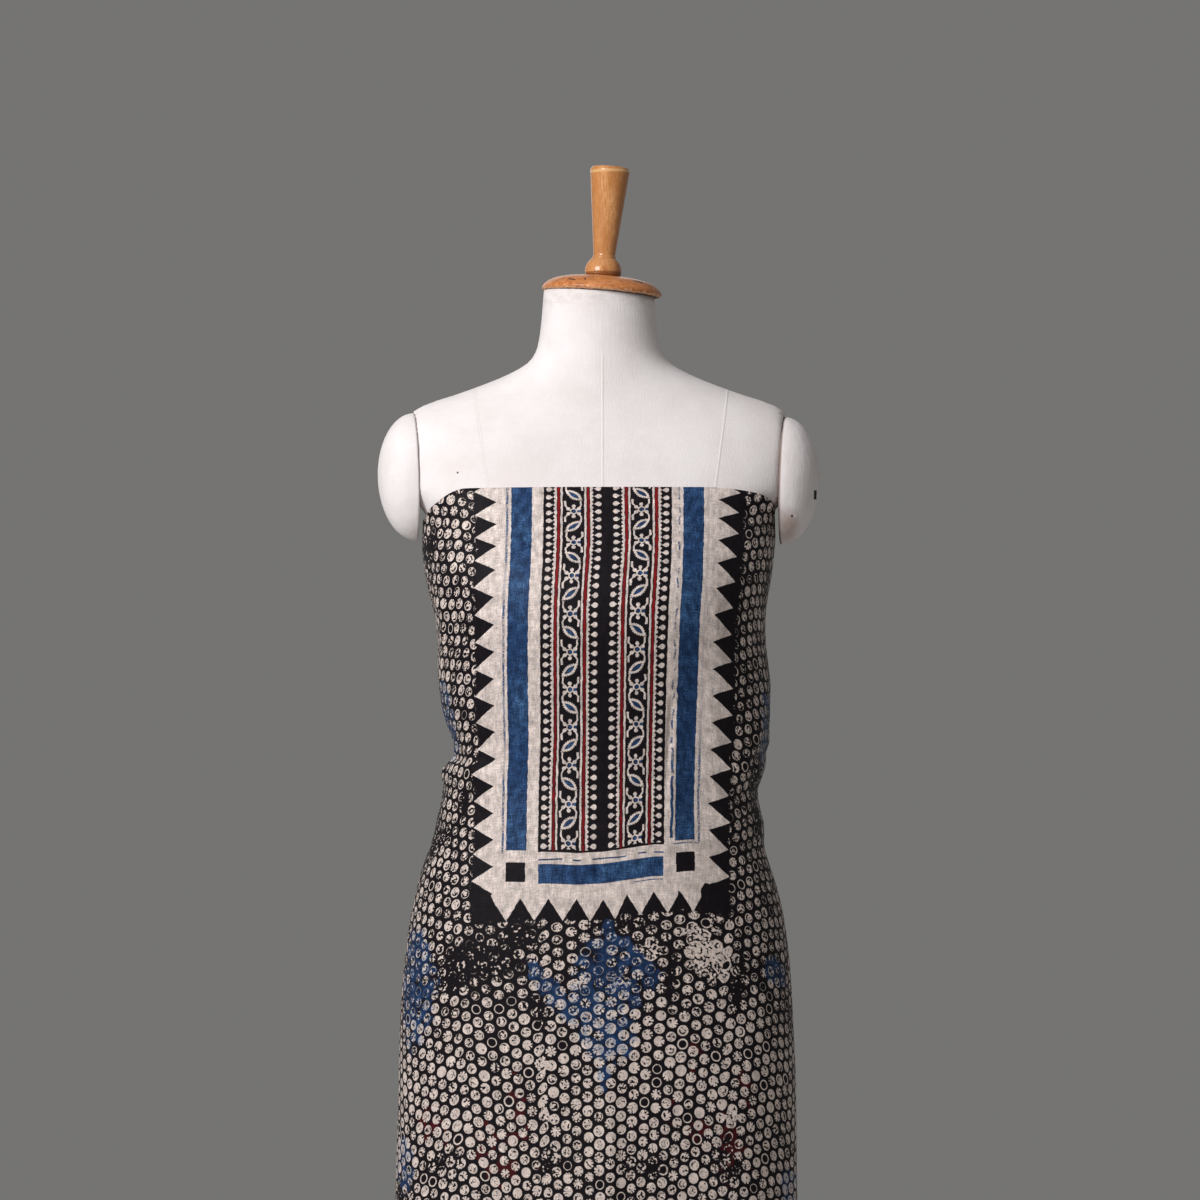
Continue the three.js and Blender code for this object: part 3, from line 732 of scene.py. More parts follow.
class Finish:
    """One finish. Its nodes are made in the order in which their values are worked out."""

    def __init__(self, name: str) -> None:
        """Starts the finish with one plain shader.

        Args:
            name: The finish's name.
        """
        self.material = bpy.data.materials.new(name)
        self.material.use_nodes = True
        self.shader = self.material.node_tree.nodes["Principled BSDF"]

    def node(self, kind: str) -> bpy.types.Node:
        """Adds a node."""
        return self.material.node_tree.nodes.new(kind)

    def join(self, socket: bpy.types.NodeSocket, value: object) -> None:
        """Feeds a socket.

        Args:
            socket: The socket to feed.
            value: A worked-out value, another socket, a colour or a plain number.
        """
        if isinstance(value, Value):
            value = value.socket
        if isinstance(value, bpy.types.NodeSocket):
            self.material.node_tree.links.new(value, socket)
        elif isinstance(value, tuple):
            socket.default_value = (*value, 1)[:len(socket.default_value)]
        else:
            socket.default_value = value

    def math(self, operation: str, *inputs: Number, clamp: bool = False) -> Value:
        """Does one sum.

        Args:
            operation: The sum's name.
            inputs: What it works on.
            clamp: Whether its result is kept between 0 and 1.

        Returns:
            The result.
        """
        node = self.node("ShaderNodeMath")
        node.operation = operation
        node.use_clamp = clamp
        for socket, value in zip(node.inputs, inputs):
            self.join(socket, value)
        return Value(self, node.outputs[0])

    def lie(self, name: str) -> tuple[Value, Value]:
        """Reads one of the piece's flat maps.

        Args:
            name: The map's name.

        Returns:
            The millimetres across and down.
        """
        node = self.node("ShaderNodeUVMap")
        node.uv_map = name
        parts = self.node("ShaderNodeSeparateXYZ")
        self.join(parts.inputs[0], node.outputs[0])
        return Value(self, parts.outputs[0]) * (1 / MM), Value(self, parts.outputs[1]) * (1 / MM)

    def strength(self, name: str) -> Value:
        """Reads how strongly a stain lies at a point.

        Args:
            name: The stain's name.

        Returns:
            1 in its middle, 0 on its edge and below 0 outside.
        """
        node = self.node("ShaderNodeAttribute")
        node.attribute_name = name
        return Value(self, node.outputs["Fac"])

    def place(self, x: Number, y: Number, z: Number = 0) -> bpy.types.NodeSocket:
        """Puts numbers together to one place.

        Args:
            x: Its first number.
            y: Its second number.
            z: Its third number.

        Returns:
            The socket that gives the place.
        """
        node = self.node("ShaderNodeCombineXYZ")
        for socket, value in zip(node.inputs, (x, y, z)):
            self.join(socket, value)
        return node.outputs[0]

    def solid_place(self) -> tuple[Value, Value, Value]:
        """Gives the place on the piece itself.

        Returns:
            The place's x, y and z in millimetres.
        """
        node = self.node("ShaderNodeTexCoord")
        parts = self.node("ShaderNodeSeparateXYZ")
        self.join(parts.inputs[0], node.outputs["Object"])
        return tuple(Value(self, output) * (1 / MM) for output in parts.outputs)

    def noise(self, place: bpy.types.NodeSocket, scale: float, detail: float = 1, rough: float = 0.5,
              flat: bool = True) -> Value:
        """Makes soft noise of about 0.3 to 0.7.

        Args:
            place: Where.
            scale: How many waves to a unit of the place.
            detail: How many finer layers it has.
            rough: How strong the finer layers are.
            flat: Whether the place has only two numbers.

        Returns:
            The noise.
        """
        node = self.node("ShaderNodeTexNoise")
        node.noise_dimensions = "2D" if flat else "3D"
        self.join(node.inputs["Vector"], place)
        node.inputs["Scale"].default_value = scale
        node.inputs["Detail"].default_value = detail
        node.inputs["Roughness"].default_value = rough
        return Value(self, node.outputs[0])

    def chance(self, x: Value, y: Value) -> tuple[Value, Value, Value, Value]:
        """Draws four steady chance numbers for one cell.

        Args:
            x: The cell's column.
            y: The cell's row.

        Returns:
            Four numbers of 0 to 1.
        """
        node = self.node("ShaderNodeTexWhiteNoise")
        node.noise_dimensions = "2D"
        self.join(node.inputs["Vector"], self.place(x, y))
        parts = self.node("ShaderNodeSeparateColor")
        self.join(parts.inputs[0], node.outputs["Color"])
        return (*(Value(self, output) for output in parts.outputs), Value(self, node.outputs["Value"]))

    def paint(self, base: Colour, over: Colour, mask: Number) -> bpy.types.NodeSocket:
        """Lays a colour over another one.

        Args:
            base: The colour below.
            over: The colour laid over it.
            mask: Where it is laid, 0 to 1.

        Returns:
            The socket that gives the colour.
        """
        node = self.node("ShaderNodeMix")
        node.data_type = "RGBA"
        self.join(node.inputs[0], mask)
        self.join(node.inputs[6], base)
        self.join(node.inputs[7], over)
        return node.outputs[2]

    def shade(self, colour: Colour, factor: Value) -> bpy.types.NodeSocket:
        """Makes a colour lighter or darker.

        Args:
            colour: The colour.
            factor: How many times as bright it becomes.

        Returns:
            The socket that gives the colour.
        """
        node = self.node("ShaderNodeVectorMath")
        node.operation = "SCALE"
        self.join(node.inputs[0], colour)
        self.join(node.inputs["Scale"], factor)
        return node.outputs[0]

    def distance(self, x: Value, y: Value) -> Value:
        """Gives the length of a step."""
        return self.math("SQRT", x.times_plus(x, y * y))

    def stroke(self, x: Value, y: Value, start: tuple[float, float], end: tuple[float, float]) -> Value:
        """Measures how far a place is from a straight stroke.

        Args:
            x: The place across.
            y: The place down.
            start: The stroke's one end.
            end: Its other end.

        Returns:
            The distance from its middle line.
        """
        run = (end[0] - start[0], end[1] - start[1])
        square = run[0] ** 2 + run[1] ** 2
        aside, down = x - start[0], y - start[1]
        along = aside.times_plus(run[0] / square, down * (run[1] / square), clamp=True)
        return self.distance(along.times_plus(-run[0], aside), along.times_plus(-run[1], down))

    def set(self, **inputs: object) -> None:
        """Sets inputs of the shader by name, with spaces written as underscores."""
        for name, value in inputs.items():
            self.join(self.shader.inputs[name.replace("_", " ")], value)

    def relief(self, height: Value, rise: float) -> None:
        """Raises the surface by a height.

        Args:
            height: The height, 0 to 1.
            rise: How many metres 1 stands for.
        """
        node = self.node("ShaderNodeBump")
        node.inputs["Strength"].default_value = 1
        node.inputs["Distance"].default_value = rise
        self.join(node.inputs["Height"], height)
        self.join(self.shader.inputs["Normal"], node.outputs[0])


CREAM = seen(216, 200, 192)
BLACK = seen(21, 16, 21)
INDIGO = seen(33, 59, 98)
MADDER = seen(84, 14, 20)
WORN_CREAM = seen(162, 166, 176)
PALE_INDIGO = seen(126, 146, 170)
BRIGHT_MADDER = seen(128, 20, 24)
WASHED_INDIGO = seen(60, 92, 130)


@dataclass(frozen=True)
class AjrakhPrint:
    """The block print, in millimetres from the middle of the cloth and down from its top edge."""

    middle: float = 8
    dot_across: float = 21.4
    dot_down: float = 12.1
    dot_radius: float = 4.2
    tooth_pitch: float = 25
    tooth_first: float = 4
    tooth_tip: float = 104
    tooth_foot: float = 126
    tooth_slope: float = 1.76
    foot_tooth_pitch: float = 25.1
    foot_tooth_first: float = -85.15
    foot_tooth_slope: float = 1.62
    bottom_foot: float = 417
    bottom_tip: float = 398.5
    stripes_half: float = 59.3
    stripes_end: float = 357
    bar_middle: float = 80
    bar_half: float = 9.9
    bar_end: float = 354
    bead_pitch: float = 8.95
    vine_aside: float = 31.2
    vine_pitch: float = 35.6
    vine_start: float = 51.8
    vine_half: float = 9.9
    square_middle: float = 80.6
    square_half: float = 9.4
    square_top: float = 365
    square_foot: float = 383
    under_half: float = 59
    under_top: float = 368
    under_foot: float = 386
    corner_middle: float = 4.5
    corner_top: float = 391.5
    corner_slope: float = 0.51
    corner_half: float = 103
    outline_near: float = 92.6
    outline_far: float = 95
    strip_aside: float = 66.4
    dashes_top: float = 362.9
    dashes_foot: float = 364.3
    stripe_inner: float = 16
    stripe_outer: float = 46.7
    bead_inner: float = 7.9
    bead_outer: float = 54.3
    bead_first: float = 60.9
    bead_radius: float = 2.5
    petal_reach: float = 5.7
    petal_radius: float = 1.75
    flower_radius: float = 3.4
    stem_half: float = 0.75
    leaf_across: float = 0.2
    leaf_down: float = 17
    leaf_turn: tuple[float, float] = (0.788, 0.616)
    leaf_half: float = 4.3
    field_below: float = 500
    dot_shift: float = 1.3
    cut_waves: tuple[float, float] = (9, 5)
    cut_depth: float = 1.9
    pale_swell: float = 2.4
    ring_hollow: float = 3.6
    ring_share: float = 0.045
    hook_radius: float = 2.7
    stroke_reach: float = 3.5
    right_strip: float = 6
    right_strip_foot: float = 200
    outline_right_from: float = 258
    strip_bold_from: float = 275
    strip_end: float = 351
    under_line: tuple[float, float] = (388.2, 389.4)
    under_line_across: tuple[float, float] = (34, 67)
    bar_line: tuple[float, float] = (356, 357.2)
    bar_line_across: tuple[float, float] = (76, 103)
    white_line: tuple[float, float] = (-5.2, -3.4)
    red_line: tuple[float, float] = (-2.7, -0.4)
    red_bright_above: float = 170
    stem: tuple[tuple[float, float], ...] = ((-4.9, 3.1), (-7.0, 7.0), (-6.7, 12.0))
    curl: tuple[tuple[float, float], ...] = ((5.6, 3.6), (8.0, 6.8), (7.8, 11.6))
    curl_thin: float = 0.65
    curl_thick: float = 1.0
    eye_radius: float = 2.2
    blue_eye_radius: float = 1.8
    bud_aside: float = 5.2
    bud_radius: float = 1.3
    lens_half: float = 2

    def finish(self) -> bpy.types.Material:
        """Prints the cloth.

        Returns:
            The material.
        """
        f = Finish("ajrakh_silk")
        across, down = f.lie("flat_cloth")
        flat = f.place(across, down)
        mottle = f.noise(flat, 0.09, 3, 0.65)
        speck = f.noise(flat, 0.7, 3, 0.7)
        wobble = f.noise(flat, 0.16, 2, 0.6)
        colour = self.field(f, flat, down.below(self.field_below, 60), mottle, speck)
        p, q = f.lie("panel_lie")
        p = wobble.times_plus(1.6, p - 0.8)
        q = speck.times_plus(0.7, q - 0.35)
        streak = self.weave(f, across, down)
        colour = self.panel(f, colour, p, q, mottle, speck + (streak - 0.5) * 0.7, flat)
        lines = self.weave(f, across, down)
        colour = f.shade(colour, lines.times_plus(1.0, 0.5))
        f.set(Base_Color=colour, Roughness=speck.times_plus(0.2, 0.48))
        f.set(Sheen_Weight=0.03, Sheen_Roughness=0.4, Specular_IOR_Level=0.12)
        f.relief(lines, 0.0003)
        return f.material

    @staticmethod
    def weave(f: Finish, across: Value, down: Value) -> Value:
        """Makes the silk's uneven threads both ways.

        Args:
            f: The finish.
            across: The place across the cloth.
            down: The place down the cloth.

        Returns:
            How thick the threads are, about 0.3 to 0.7.
        """
        warp = f.noise(f.place(across * 1.3, down * 0.1), 1, 1)
        weft = f.noise(f.place(across * 0.09, down * 1.4), 1, 1)
        crinkle = f.noise(f.place(across * 0.16, down * 0.1), 1, 1)
        return warp.times_plus(0.5, weft * 0.5) + crinkle * 0.6 - 0.3

    def field(self, f: Finish, flat: bpy.types.NodeSocket, busy: Value, mottle: Value,
              speck: Value) -> bpy.types.NodeSocket:
        """Prints the field of round dots with its patches of dye.

        Args:
            f: The finish.
            flat: The place on the flat cloth.
            busy: Where the dots carry more marks, 0 to 1.
            mottle: Coarse noise.
            speck: Fine noise.

        Returns:
            The colour.
        """
        black = f.strength("black_stain") + mottle.times_plus(1.2, -0.6)
        pale = (f.strength("pale_stain") + mottle.times_plus(1.2, -0.6)).above(0.1, 0.35)
        flood = f.strength("indigo_stain").above(0.15, 0.3) * busy * 0.55
        flood = black.above(0.05, 0.5).most(flood)
        cream = self.dots(f, flat, busy, flood, pale, speck)
        indigo = f.strength("indigo_stain") + mottle.times_plus(0.7, -0.35) + speck.times_plus(0.5, -0.25)
        indigo = indigo.above(0.06, 0.07) * mottle.above(0.4, 0.06)
        blue = f.shade(INDIGO, mottle.times_plus(2.2, -0.5))
        ink = f.paint(f.shade(BLACK, speck.times_plus(1.0, 0.5)), blue, indigo)
        madder = f.strength("madder_stain") + f.noise(flat, 0.08, 2, 0.6).times_plus(4.6, -2.75)
        ink = f.paint(ink, MADDER, madder.above(0.2, 0.3) * 0.6)
        ground = f.shade(CREAM, speck.times_plus(0.5, 0.75))
        ground = f.paint(ground, PALE_INDIGO, indigo * mottle.above(0.5, 0.2) * 0.55)
        return f.paint(ink, ground, cream)

    def dots(self, f: Finish, flat: bpy.types.NodeSocket, busy: Value, flood: Value, pale: Value,
             speck: Value) -> Value:
        """Marks the cream dots, each with its own cuts and blots.

        Args:
            f: The finish.
            flat: The place on the flat cloth.
            busy: Where the dots carry more marks, 0 to 1.
            flood: Where black has run over the dots.
            pale: Where the dots run together.
            speck: Fine noise.

        Returns:
            The mask of the dots.
        """
        x, y = f.lie("dots_lie")
        wide, high = self.dot_across, self.dot_down
        column, row = (x / wide + 0.5).floor(), (y / high + 0.5).floor()
        x_one, y_one = column.times_plus(-wide, x), row.times_plus(-high, y)
        column_two, row_two = (x / wide).floor() + 0.5, (y / high).floor() + 0.5
        x_two, y_two = column_two.times_plus(-wide, x), row_two.times_plus(-high, y)
        far_one = x_one.times_plus(x_one, y_one * y_one)
        far_two = x_two.times_plus(x_two, y_two * y_two)
        near = f.math("LESS_THAN", far_two, far_one)
        x, y = x_one.blend(x_two, near), y_one.blend(y_two, near)
        kind, turn, size, odd = f.chance(column.blend(column_two, near), row.blend(row_two, near))
        x = turn.times_plus(self.dot_shift, x - self.dot_shift / 2)
        y = odd.times_plus(self.dot_shift, y - self.dot_shift / 2)
        away = f.distance(x, y)
        round_about = f.math("ARCTAN2", y, x)
        many, few = self.cut_waves
        cuts = round_about.times_plus(many, turn * 30).sine()
        cuts = cuts + round_about.times_plus(few, odd * 40).sine() * 0.6
        side = turn.times_plus(2 * math.pi, round_about).sine().above(0.45, 0.4) * kind.above(0.52, 0.02)
        depth = side.most(kind.above(0.96, 0.01)) * self.cut_depth
        radius = size.times_plus(0.9, self.dot_radius) + speck.times_plus(1.2, -0.6) - busy * 0.3
        radius = radius - cuts.most(0) * depth + pale * self.pale_swell
        shape = away.below(radius, 0.45)
        boxy = abs(x).most(abs(y)) * 1.14
        hollow = away.blend(boxy, odd.above(0.5, 0.02)).below(self.ring_hollow, 0.4)
        hollow = hollow * kind.below(self.ring_share, 0.0005)
        shape = shape * (1 - hollow)
        blot = f.noise(flat, 0.34, 1, 0.35)
        limit = size.times_plus(0.15, 0.56) - flood * 0.2 - busy * 0.07
        blots = blot.above(limit, 0.04) * away.below(speck.times_plus(2.4, 2.6), 0.5).most(flood).most(pale)
        strokes = abs(f.noise(flat, 0.23, 1, 0.3) - 0.5).below(0.03, 0.02) * turn.above(0.36, 0.02)
        strokes = strokes * away.below(self.stroke_reach, 0.5)
        hook = abs(away - self.hook_radius).below(0.7, 0.4) * kind.above(0.12, 0.01)
        hook = hook * kind.below(busy.times_plus(0.18, 0.16), 0.01)
        hook = hook * turn.times_plus(2 * math.pi, round_about).sine().above(0.1, 0.3)
        return shape * (1 - blots) * (1 - strokes) * (1 - hook)

    def panel(self, f: Finish, colour: bpy.types.NodeSocket, p: Value, q: Value, mottle: Value, speck: Value,
              flat: bpy.types.NodeSocket) -> bpy.types.NodeSocket:
        """Prints the framed panel over the field.

        Args:
            f: The finish.
            colour: The field's colour.
            p: The place across the panel.
            q: The place down the panel.
            mottle: Coarse noise.
            speck: Fine noise.
            flat: The place on the flat cloth.

        Returns:
            The colour with the panel.
        """
        m = abs(p - self.middle)
        cream = f.shade(CREAM, speck.times_plus(0.5, 0.75))
        cream = f.paint(cream, WORN_CREAM, f.noise(flat, 0.45, 3, 0.7).above(0.55, 0.1) * 0.42)
        black = f.shade(BLACK, speck.times_plus(0.9, 0.55))
        washed = f.noise(flat, 0.016, 1).times_plus(1.5, -0.97) + mottle * 0.6 + (speck - 0.5) * 2.2
        blue = f.shade(f.paint(INDIGO, WASHED_INDIGO, washed), speck.times_plus(1.2, 0.35))
        ragged = mottle.times_plus(9, -4.5) + speck.times_plus(7, -3.5)
        strip = p.above(self.middle) * q.below(self.right_strip_foot, 140) * self.right_strip
        inside = m - strip + ragged
        inside = inside.below(self.tooth_foot + 0.5, 0.8)
        inside = inside * (q + ragged).below(self.bottom_foot + 2, 0.8)
        colour = f.paint(colour, black, inside)
        colour = f.paint(colour, cream, self.ground(p, m, q))
        colour = f.paint(colour, blue, self.bars(p, m, q, speck))
        squares = m.between(self.square_middle - self.square_half, self.square_middle + self.square_half)
        squares = squares * q.between(self.square_top, self.square_foot)
        colour = f.paint(colour, black, squares.most(m.below(self.stripes_half) * q.below(self.stripes_end)))
        colour = self.stripes(f, colour, m, p, q, cream, speck)
        return self.vines(f, colour, p, q, cream, blue)

    def ground(self, p: Value, m: Value, q: Value) -> Value:
        """Marks the panel's cream ground, cut out by the black teeth and corner blocks.

        Args:
            p: The place across.
            m: The place out from the panel's middle line.
            q: The place down.

        Returns:
            The mask of the ground.
        """
        tooth = abs((q - self.tooth_first) % self.tooth_pitch - self.tooth_pitch / 2)
        sides = (m - tooth * self.tooth_slope).below(self.tooth_tip)
        tooth = abs((p - self.foot_tooth_first) % self.foot_tooth_pitch - self.foot_tooth_pitch / 2)
        foot = (q - tooth * self.foot_tooth_slope).below(self.bottom_tip + 0.6)
        corner = abs(p - self.corner_middle) + (q - self.corner_top) * self.corner_slope
        corner = corner.below(self.corner_half)
        return sides.least(foot).least(corner.most(q.below(self.corner_top, 0.6)))

    def bars(self, p: Value, m: Value, q: Value, speck: Value) -> Value:
        """Marks the indigo bars and their thin broken outlines.

        Args:
            p: The place across.
            m: The place out from the panel's middle line.
            q: The place down.
            speck: Fine noise.

        Returns:
            The mask of the bars.
        """
        low, high = self.bar_middle - self.bar_half, self.bar_middle + self.bar_half
        upright = m.between(low, high) * q.below(self.bar_end)
        under = m.below(self.under_half) * q.between(self.under_top, self.under_foot)
        right = p.above(self.middle)
        worn = speck.above(0.44, 0.08)
        outer = (m - p.above(0, 1) * 0.4).between(self.outline_near, self.outline_far, 0.6)
        outer = outer * q.below(self.bar_end + 2) * worn
        broken = ((q * 0.11).sine() + (q * 0.043).sine()).times_plus(0.3, 0.9, clamp=True)
        left_side = outer * (1 - right) * broken
        right_side = outer * right * q.above(self.outline_right_from, 40).times_plus(0.7, 0.2)
        wave = (q * 0.32).sine() + (q * 0.13).sine()
        thick = q.above(self.strip_bold_from, 60)
        gaps = ((q * 0.47).sine() + (q * 0.19).sine()).above(thick * -2.2 - 0.1, 0.4)
        strip = abs(m - self.strip_aside + wave * 0.35).below(thick.times_plus(0.65, 0.8), 0.4)
        strip = strip * right * q.below(self.strip_end) * gaps * worn.most(thick)
        dashes = (q + (p * 0.17).sine() * 0.5).between(self.dashes_top, self.dashes_foot, 0.5)
        dashes = dashes * m.below(self.under_half)
        dashes = dashes * ((p * 0.31).sine() + (p * 0.113).sine()).above(-0.5, 0.4)
        foot = q.between(*self.under_line, 0.4) * p.between(*self.under_line_across)
        foot = foot + q.between(*self.bar_line, 0.4) * p.between(*self.bar_line_across)
        bars = upright.most(under).most(left_side).most(right_side)
        return bars.most(strip).most(dashes).most(foot * worn)

    def stripes(self, f: Finish, colour: bpy.types.NodeSocket, m: Value, p: Value, q: Value,
                cream: bpy.types.NodeSocket, speck: Value) -> bpy.types.NodeSocket:
        """Prints the beads, the scallops and the madder stripes.

        Args:
            f: The finish.
            colour: The colour so far.
            m: The place out from the panel's middle line.
            p: The place across.
            q: The place down.
            cream: The ground's colour.
            speck: Fine noise.

        Returns:
            The colour with the stripes.
        """
        long = q.below(self.stripes_end - 2)
        inward = (self.stripe_inner - m).most(m - self.stripe_outer)
        bumps = abs((q * (math.pi / (self.bead_pitch / 2))).sine())
        scallop = inward.above(0.2) * inward.below(bumps.times_plus(1.7, 1.5))
        white = inward.between(*self.white_line)
        toward = (m - self.bead_inner).least(self.bead_outer - m)
        offset = q + p.above(40, 0.01) * (self.bead_pitch / 2)
        beside = abs((offset - self.bead_first) % self.bead_pitch - self.bead_pitch / 2)
        body = f.distance(toward, beside) - self.bead_radius
        tip = (beside * 1.2 + toward * 0.8 - 3.3).most(toward * -1)
        bead = body.least(tip).below(0, 0.4)
        colour = f.paint(colour, cream, scallop.most(white).most(bead) * long)
        fresh = speck.above(0.5, 0.2) + q.below(self.red_bright_above, 120) * 0.6
        red = f.paint(MADDER, BRIGHT_MADDER, fresh)
        return f.paint(colour, red, inward.between(*self.red_line) * q.below(self.stripes_end - 0.5))

    def vines(self, f: Finish, colour: bpy.types.NodeSocket, p: Value, q: Value, cream: bpy.types.NodeSocket,
              blue: bpy.types.NodeSocket) -> bpy.types.NodeSocket:
        """Prints the two climbing vines: flowers, leaves, stems and curls.

        Args:
            f: The finish.
            colour: The colour so far.
            p: The place across.
            q: The place down.
            cream: The ground's colour.
            blue: The indigo's colour.

        Returns:
            The colour with the vines.
        """
        half = p - self.middle
        aside = half - f.math("SIGN", half) * self.vine_aside
        inside = abs(aside).below(self.vine_half) * q.below(self.stripes_end - 3)
        steps = (q - self.vine_start) / self.vine_pitch
        side = (steps.floor() % 2).times_plus(-2, 1)
        y = (q - self.vine_start) % self.vine_pitch - 12
        x = aside * side
        away = f.distance(x, y)
        fold = f.math("ARCTAN2", y, x) % (math.pi / 3) - math.pi / 6
        out, beside = away * f.math("COSINE", fold), abs(away * fold.sine())
        petal = f.distance((out - self.petal_reach) * 0.9, beside) - self.petal_radius
        neck = beside.most(out - 5) - self.stem_half
        ring = away - self.flower_radius
        bold = petal.least(neck).least(ring)
        leg = abs(y)
        root, knee, end = self.stem
        stem = f.stroke(x, leg, root, knee).least(f.stroke(x, leg, knee, end))
        bold = bold.least(stem - self.stem_half)
        start, bend, tip = self.curl
        curl = f.stroke(x, leg, start, bend) - self.curl_thin
        curl = curl.least(f.stroke(x, leg, bend, tip) - self.curl_thick)
        bold = bold.least(curl.most(leg - 12))
        upright, sideways = self.leaf_turn
        along = (x - self.leaf_across) * upright + (y - self.leaf_down) * sideways
        over = (y - self.leaf_down) * upright - (x - self.leaf_across) * sideways
        edge = (along * along).times_plus(self.leaf_half / 92, -self.leaf_half)
        leaf = abs(over) + edge + (along * 3.1).sine() * 0.42
        bold = bold.least(leaf * 0.85)
        colour = f.paint(colour, cream, bold.below(0) * inside)
        colour = f.paint(colour, BLACK, away.below(self.eye_radius) * inside)
        colour = f.paint(colour, blue, f.distance(aside - 0.6, y).below(self.blue_eye_radius) * inside)
        bud = f.distance(aside - self.bud_aside, y * 0.9).below(self.bud_radius)
        colour = f.paint(colour, blue, bud * inside)
        lens = (along * along).times_plus(self.lens_half / 40, abs(over) - self.lens_half)
        colour = f.paint(colour, BLACK, lens.below(0) * inside)
        return f.paint(colour, blue, (lens + 0.45 - over * 0.15).below(0) * inside)


# Where the silk's bake layout puts its two skins and its edges, in shares of the square.
OUTER_ACROSS = (0.005, 0.145, 0.675, 0.815)
OUTER_DOWN = (0.995, 0.295, 0.005)
INNER_ACROSS = (0.83, 0.955)
EDGE_STRIP = (0.965, 0.995)


@dataclass
class Silk:
    """The printed silk: a thin sheet that hangs as its solid does, with its finer creases."""

    hanging: HangingCloth
    thickness: float = 0.9
    fine_half: float = 236
    fine_depth: float = 560
    fine_step: float = 3.5
    crease_step: float = 1.9
    foot_creases: tuple[float, float] = (-10, 24)
    bar_creases: tuple[float, float] = (56, 88)
    crease_rows: tuple[float, float] = (195, 225)
    coarse_step: float = 8.1
    row_step: float = 3.6
    coarse_row: float = 10

    def build(self) -> bpy.types.Object:
        """Hangs the cloth and gives it its flat-cut coordinates.

        Returns:
            The cloth.
        """
        edge = self.hanging.width / 2
        across = spaced(
            (-edge, 0), (-self.fine_half, self.coarse_step), (self.foot_creases[0], self.fine_step),
            (self.foot_creases[1], self.crease_step), (self.bar_creases[0], self.fine_step),
            (self.bar_creases[1], self.crease_step), (self.fine_half, self.fine_step),
            (edge, self.coarse_step))
        depths = spaced(
            (0, 0), (self.crease_rows[0], self.row_step), (self.crease_rows[1], self.crease_step),
            (self.fine_depth, self.row_step), (self.hanging.length, self.coarse_row))
        middle, out = self.hanging.hang(across, depths)
        wide, deep = np.meshgrid(across, depths)
        middle += out * fold_rise(CREASES, wide, deep)[..., None]
        rows, columns = len(depths), len(across)
        half = out * (self.thickness / 2)
        points = np.concatenate([(middle + half).reshape(-1, 3), (middle - half).reshape(-1, 3)])
        faces = grid_faces(rows, columns, 0, False, False)
        faces += grid_faces(rows, columns, rows * columns, False, True)
        faces += self.rim(rows, columns)
        piece = mesh_piece("printed_silk", points, faces)
        for name, pair in (
                ("flat_cloth", (wide, deep)), ("panel_lie", self.panel_lie(wide, deep)),
                ("dots_lie", self.dots_lie(wide, deep))):
            flat = np.stack(pair, axis=-1).reshape(-1, 2) * MM
            set_uv(piece, name, np.concatenate([flat, flat]))
        for name, stains in (
                ("indigo_stain", INDIGO_STAINS), ("black_stain", BLACK_STAINS),
                ("madder_stain", MADDER_STAINS), ("pale_stain", PALE_STAINS)):
            spread = self.spread(stains, wide, deep).ravel().astype(np.float32)
            layer = piece.data.attributes.new(name, "FLOAT", "POINT")
            layer.data.foreach_set("value", np.concatenate([spread, spread]))
        self.lay_out(piece, wide, deep)
        settle(piece, Slot.SILK, "cloth")
        return piece

    def lay_out(self, piece: bpy.types.Object, across: np.ndarray, depth: np.ndarray) -> None:
        """Lays the whole sheet out in one square, with the printed front drawn larger.

        Args:
            piece: The cloth.
            across: Places across the cloth.
            depth: Places down the cloth.
        """
        edge = self.hanging.width / 2
        u = np.interp(across, (-edge, -self.fine_half, self.fine_half, edge), OUTER_ACROSS)
        v = np.interp(depth, (0, self.fine_depth, self.hanging.length), OUTER_DOWN)
        inner = np.interp(across, (-edge, edge), INNER_ACROSS)
        outer_skin = np.stack([u, v], axis=-1).reshape(-1, 2)
        inner_skin = np.stack([inner, v], axis=-1).reshape(-1, 2)
        corners = np.empty(len(piece.data.loops), np.int32)
        piece.data.loops.foreach_get("vertex_index", corners)
        layer = piece.data.uv_layers.new(name="OFBake")
        spots = np.concatenate([outer_skin, inner_skin])[corners]
        skins = 8 * (across.shape[0] - 1) * (across.shape[1] - 1)
        edges = np.arange((len(corners) - skins) // 4)
        strip = corners[skins:].reshape(-1, 4)
        spots[skins:, 0] = np.where(strip >= across.size, EDGE_STRIP[1], EDGE_STRIP[0]).ravel()
        along = strip % across.size
        further = along > along.min(axis=1, keepdims=True)
        spots[skins:, 1] = ((edges[:, None] + further) / len(edges) * 0.99 + 0.005).ravel()
        layer.uv.foreach_set("vector", spots.astype(np.float32).ravel())

    @staticmethod
    def spread(stains: tuple[Stain, ...], across: np.ndarray, depth: np.ndarray) -> np.ndarray:
        """Says how far inside the nearest stain each place lies.

        Args:
            stains: The stains.
            across: Places across the cloth.
            depth: Places down the cloth.

        Returns:
            1 in the middle of a stain, 0 on its edge, and down to -1 outside.
        """
        best = np.full(across.shape, -1.0)
        for stain in stains:
            lean = math.radians(stain.lean)
            aside, down = across - stain.across, depth - stain.depth
            wide = (aside * math.cos(lean) - down * math.sin(lean)) / stain.width
            long = (aside * math.sin(lean) + down * math.cos(lean)) / stain.length
            best = np.maximum(best, 1 - np.hypot(wide, long))
        return best

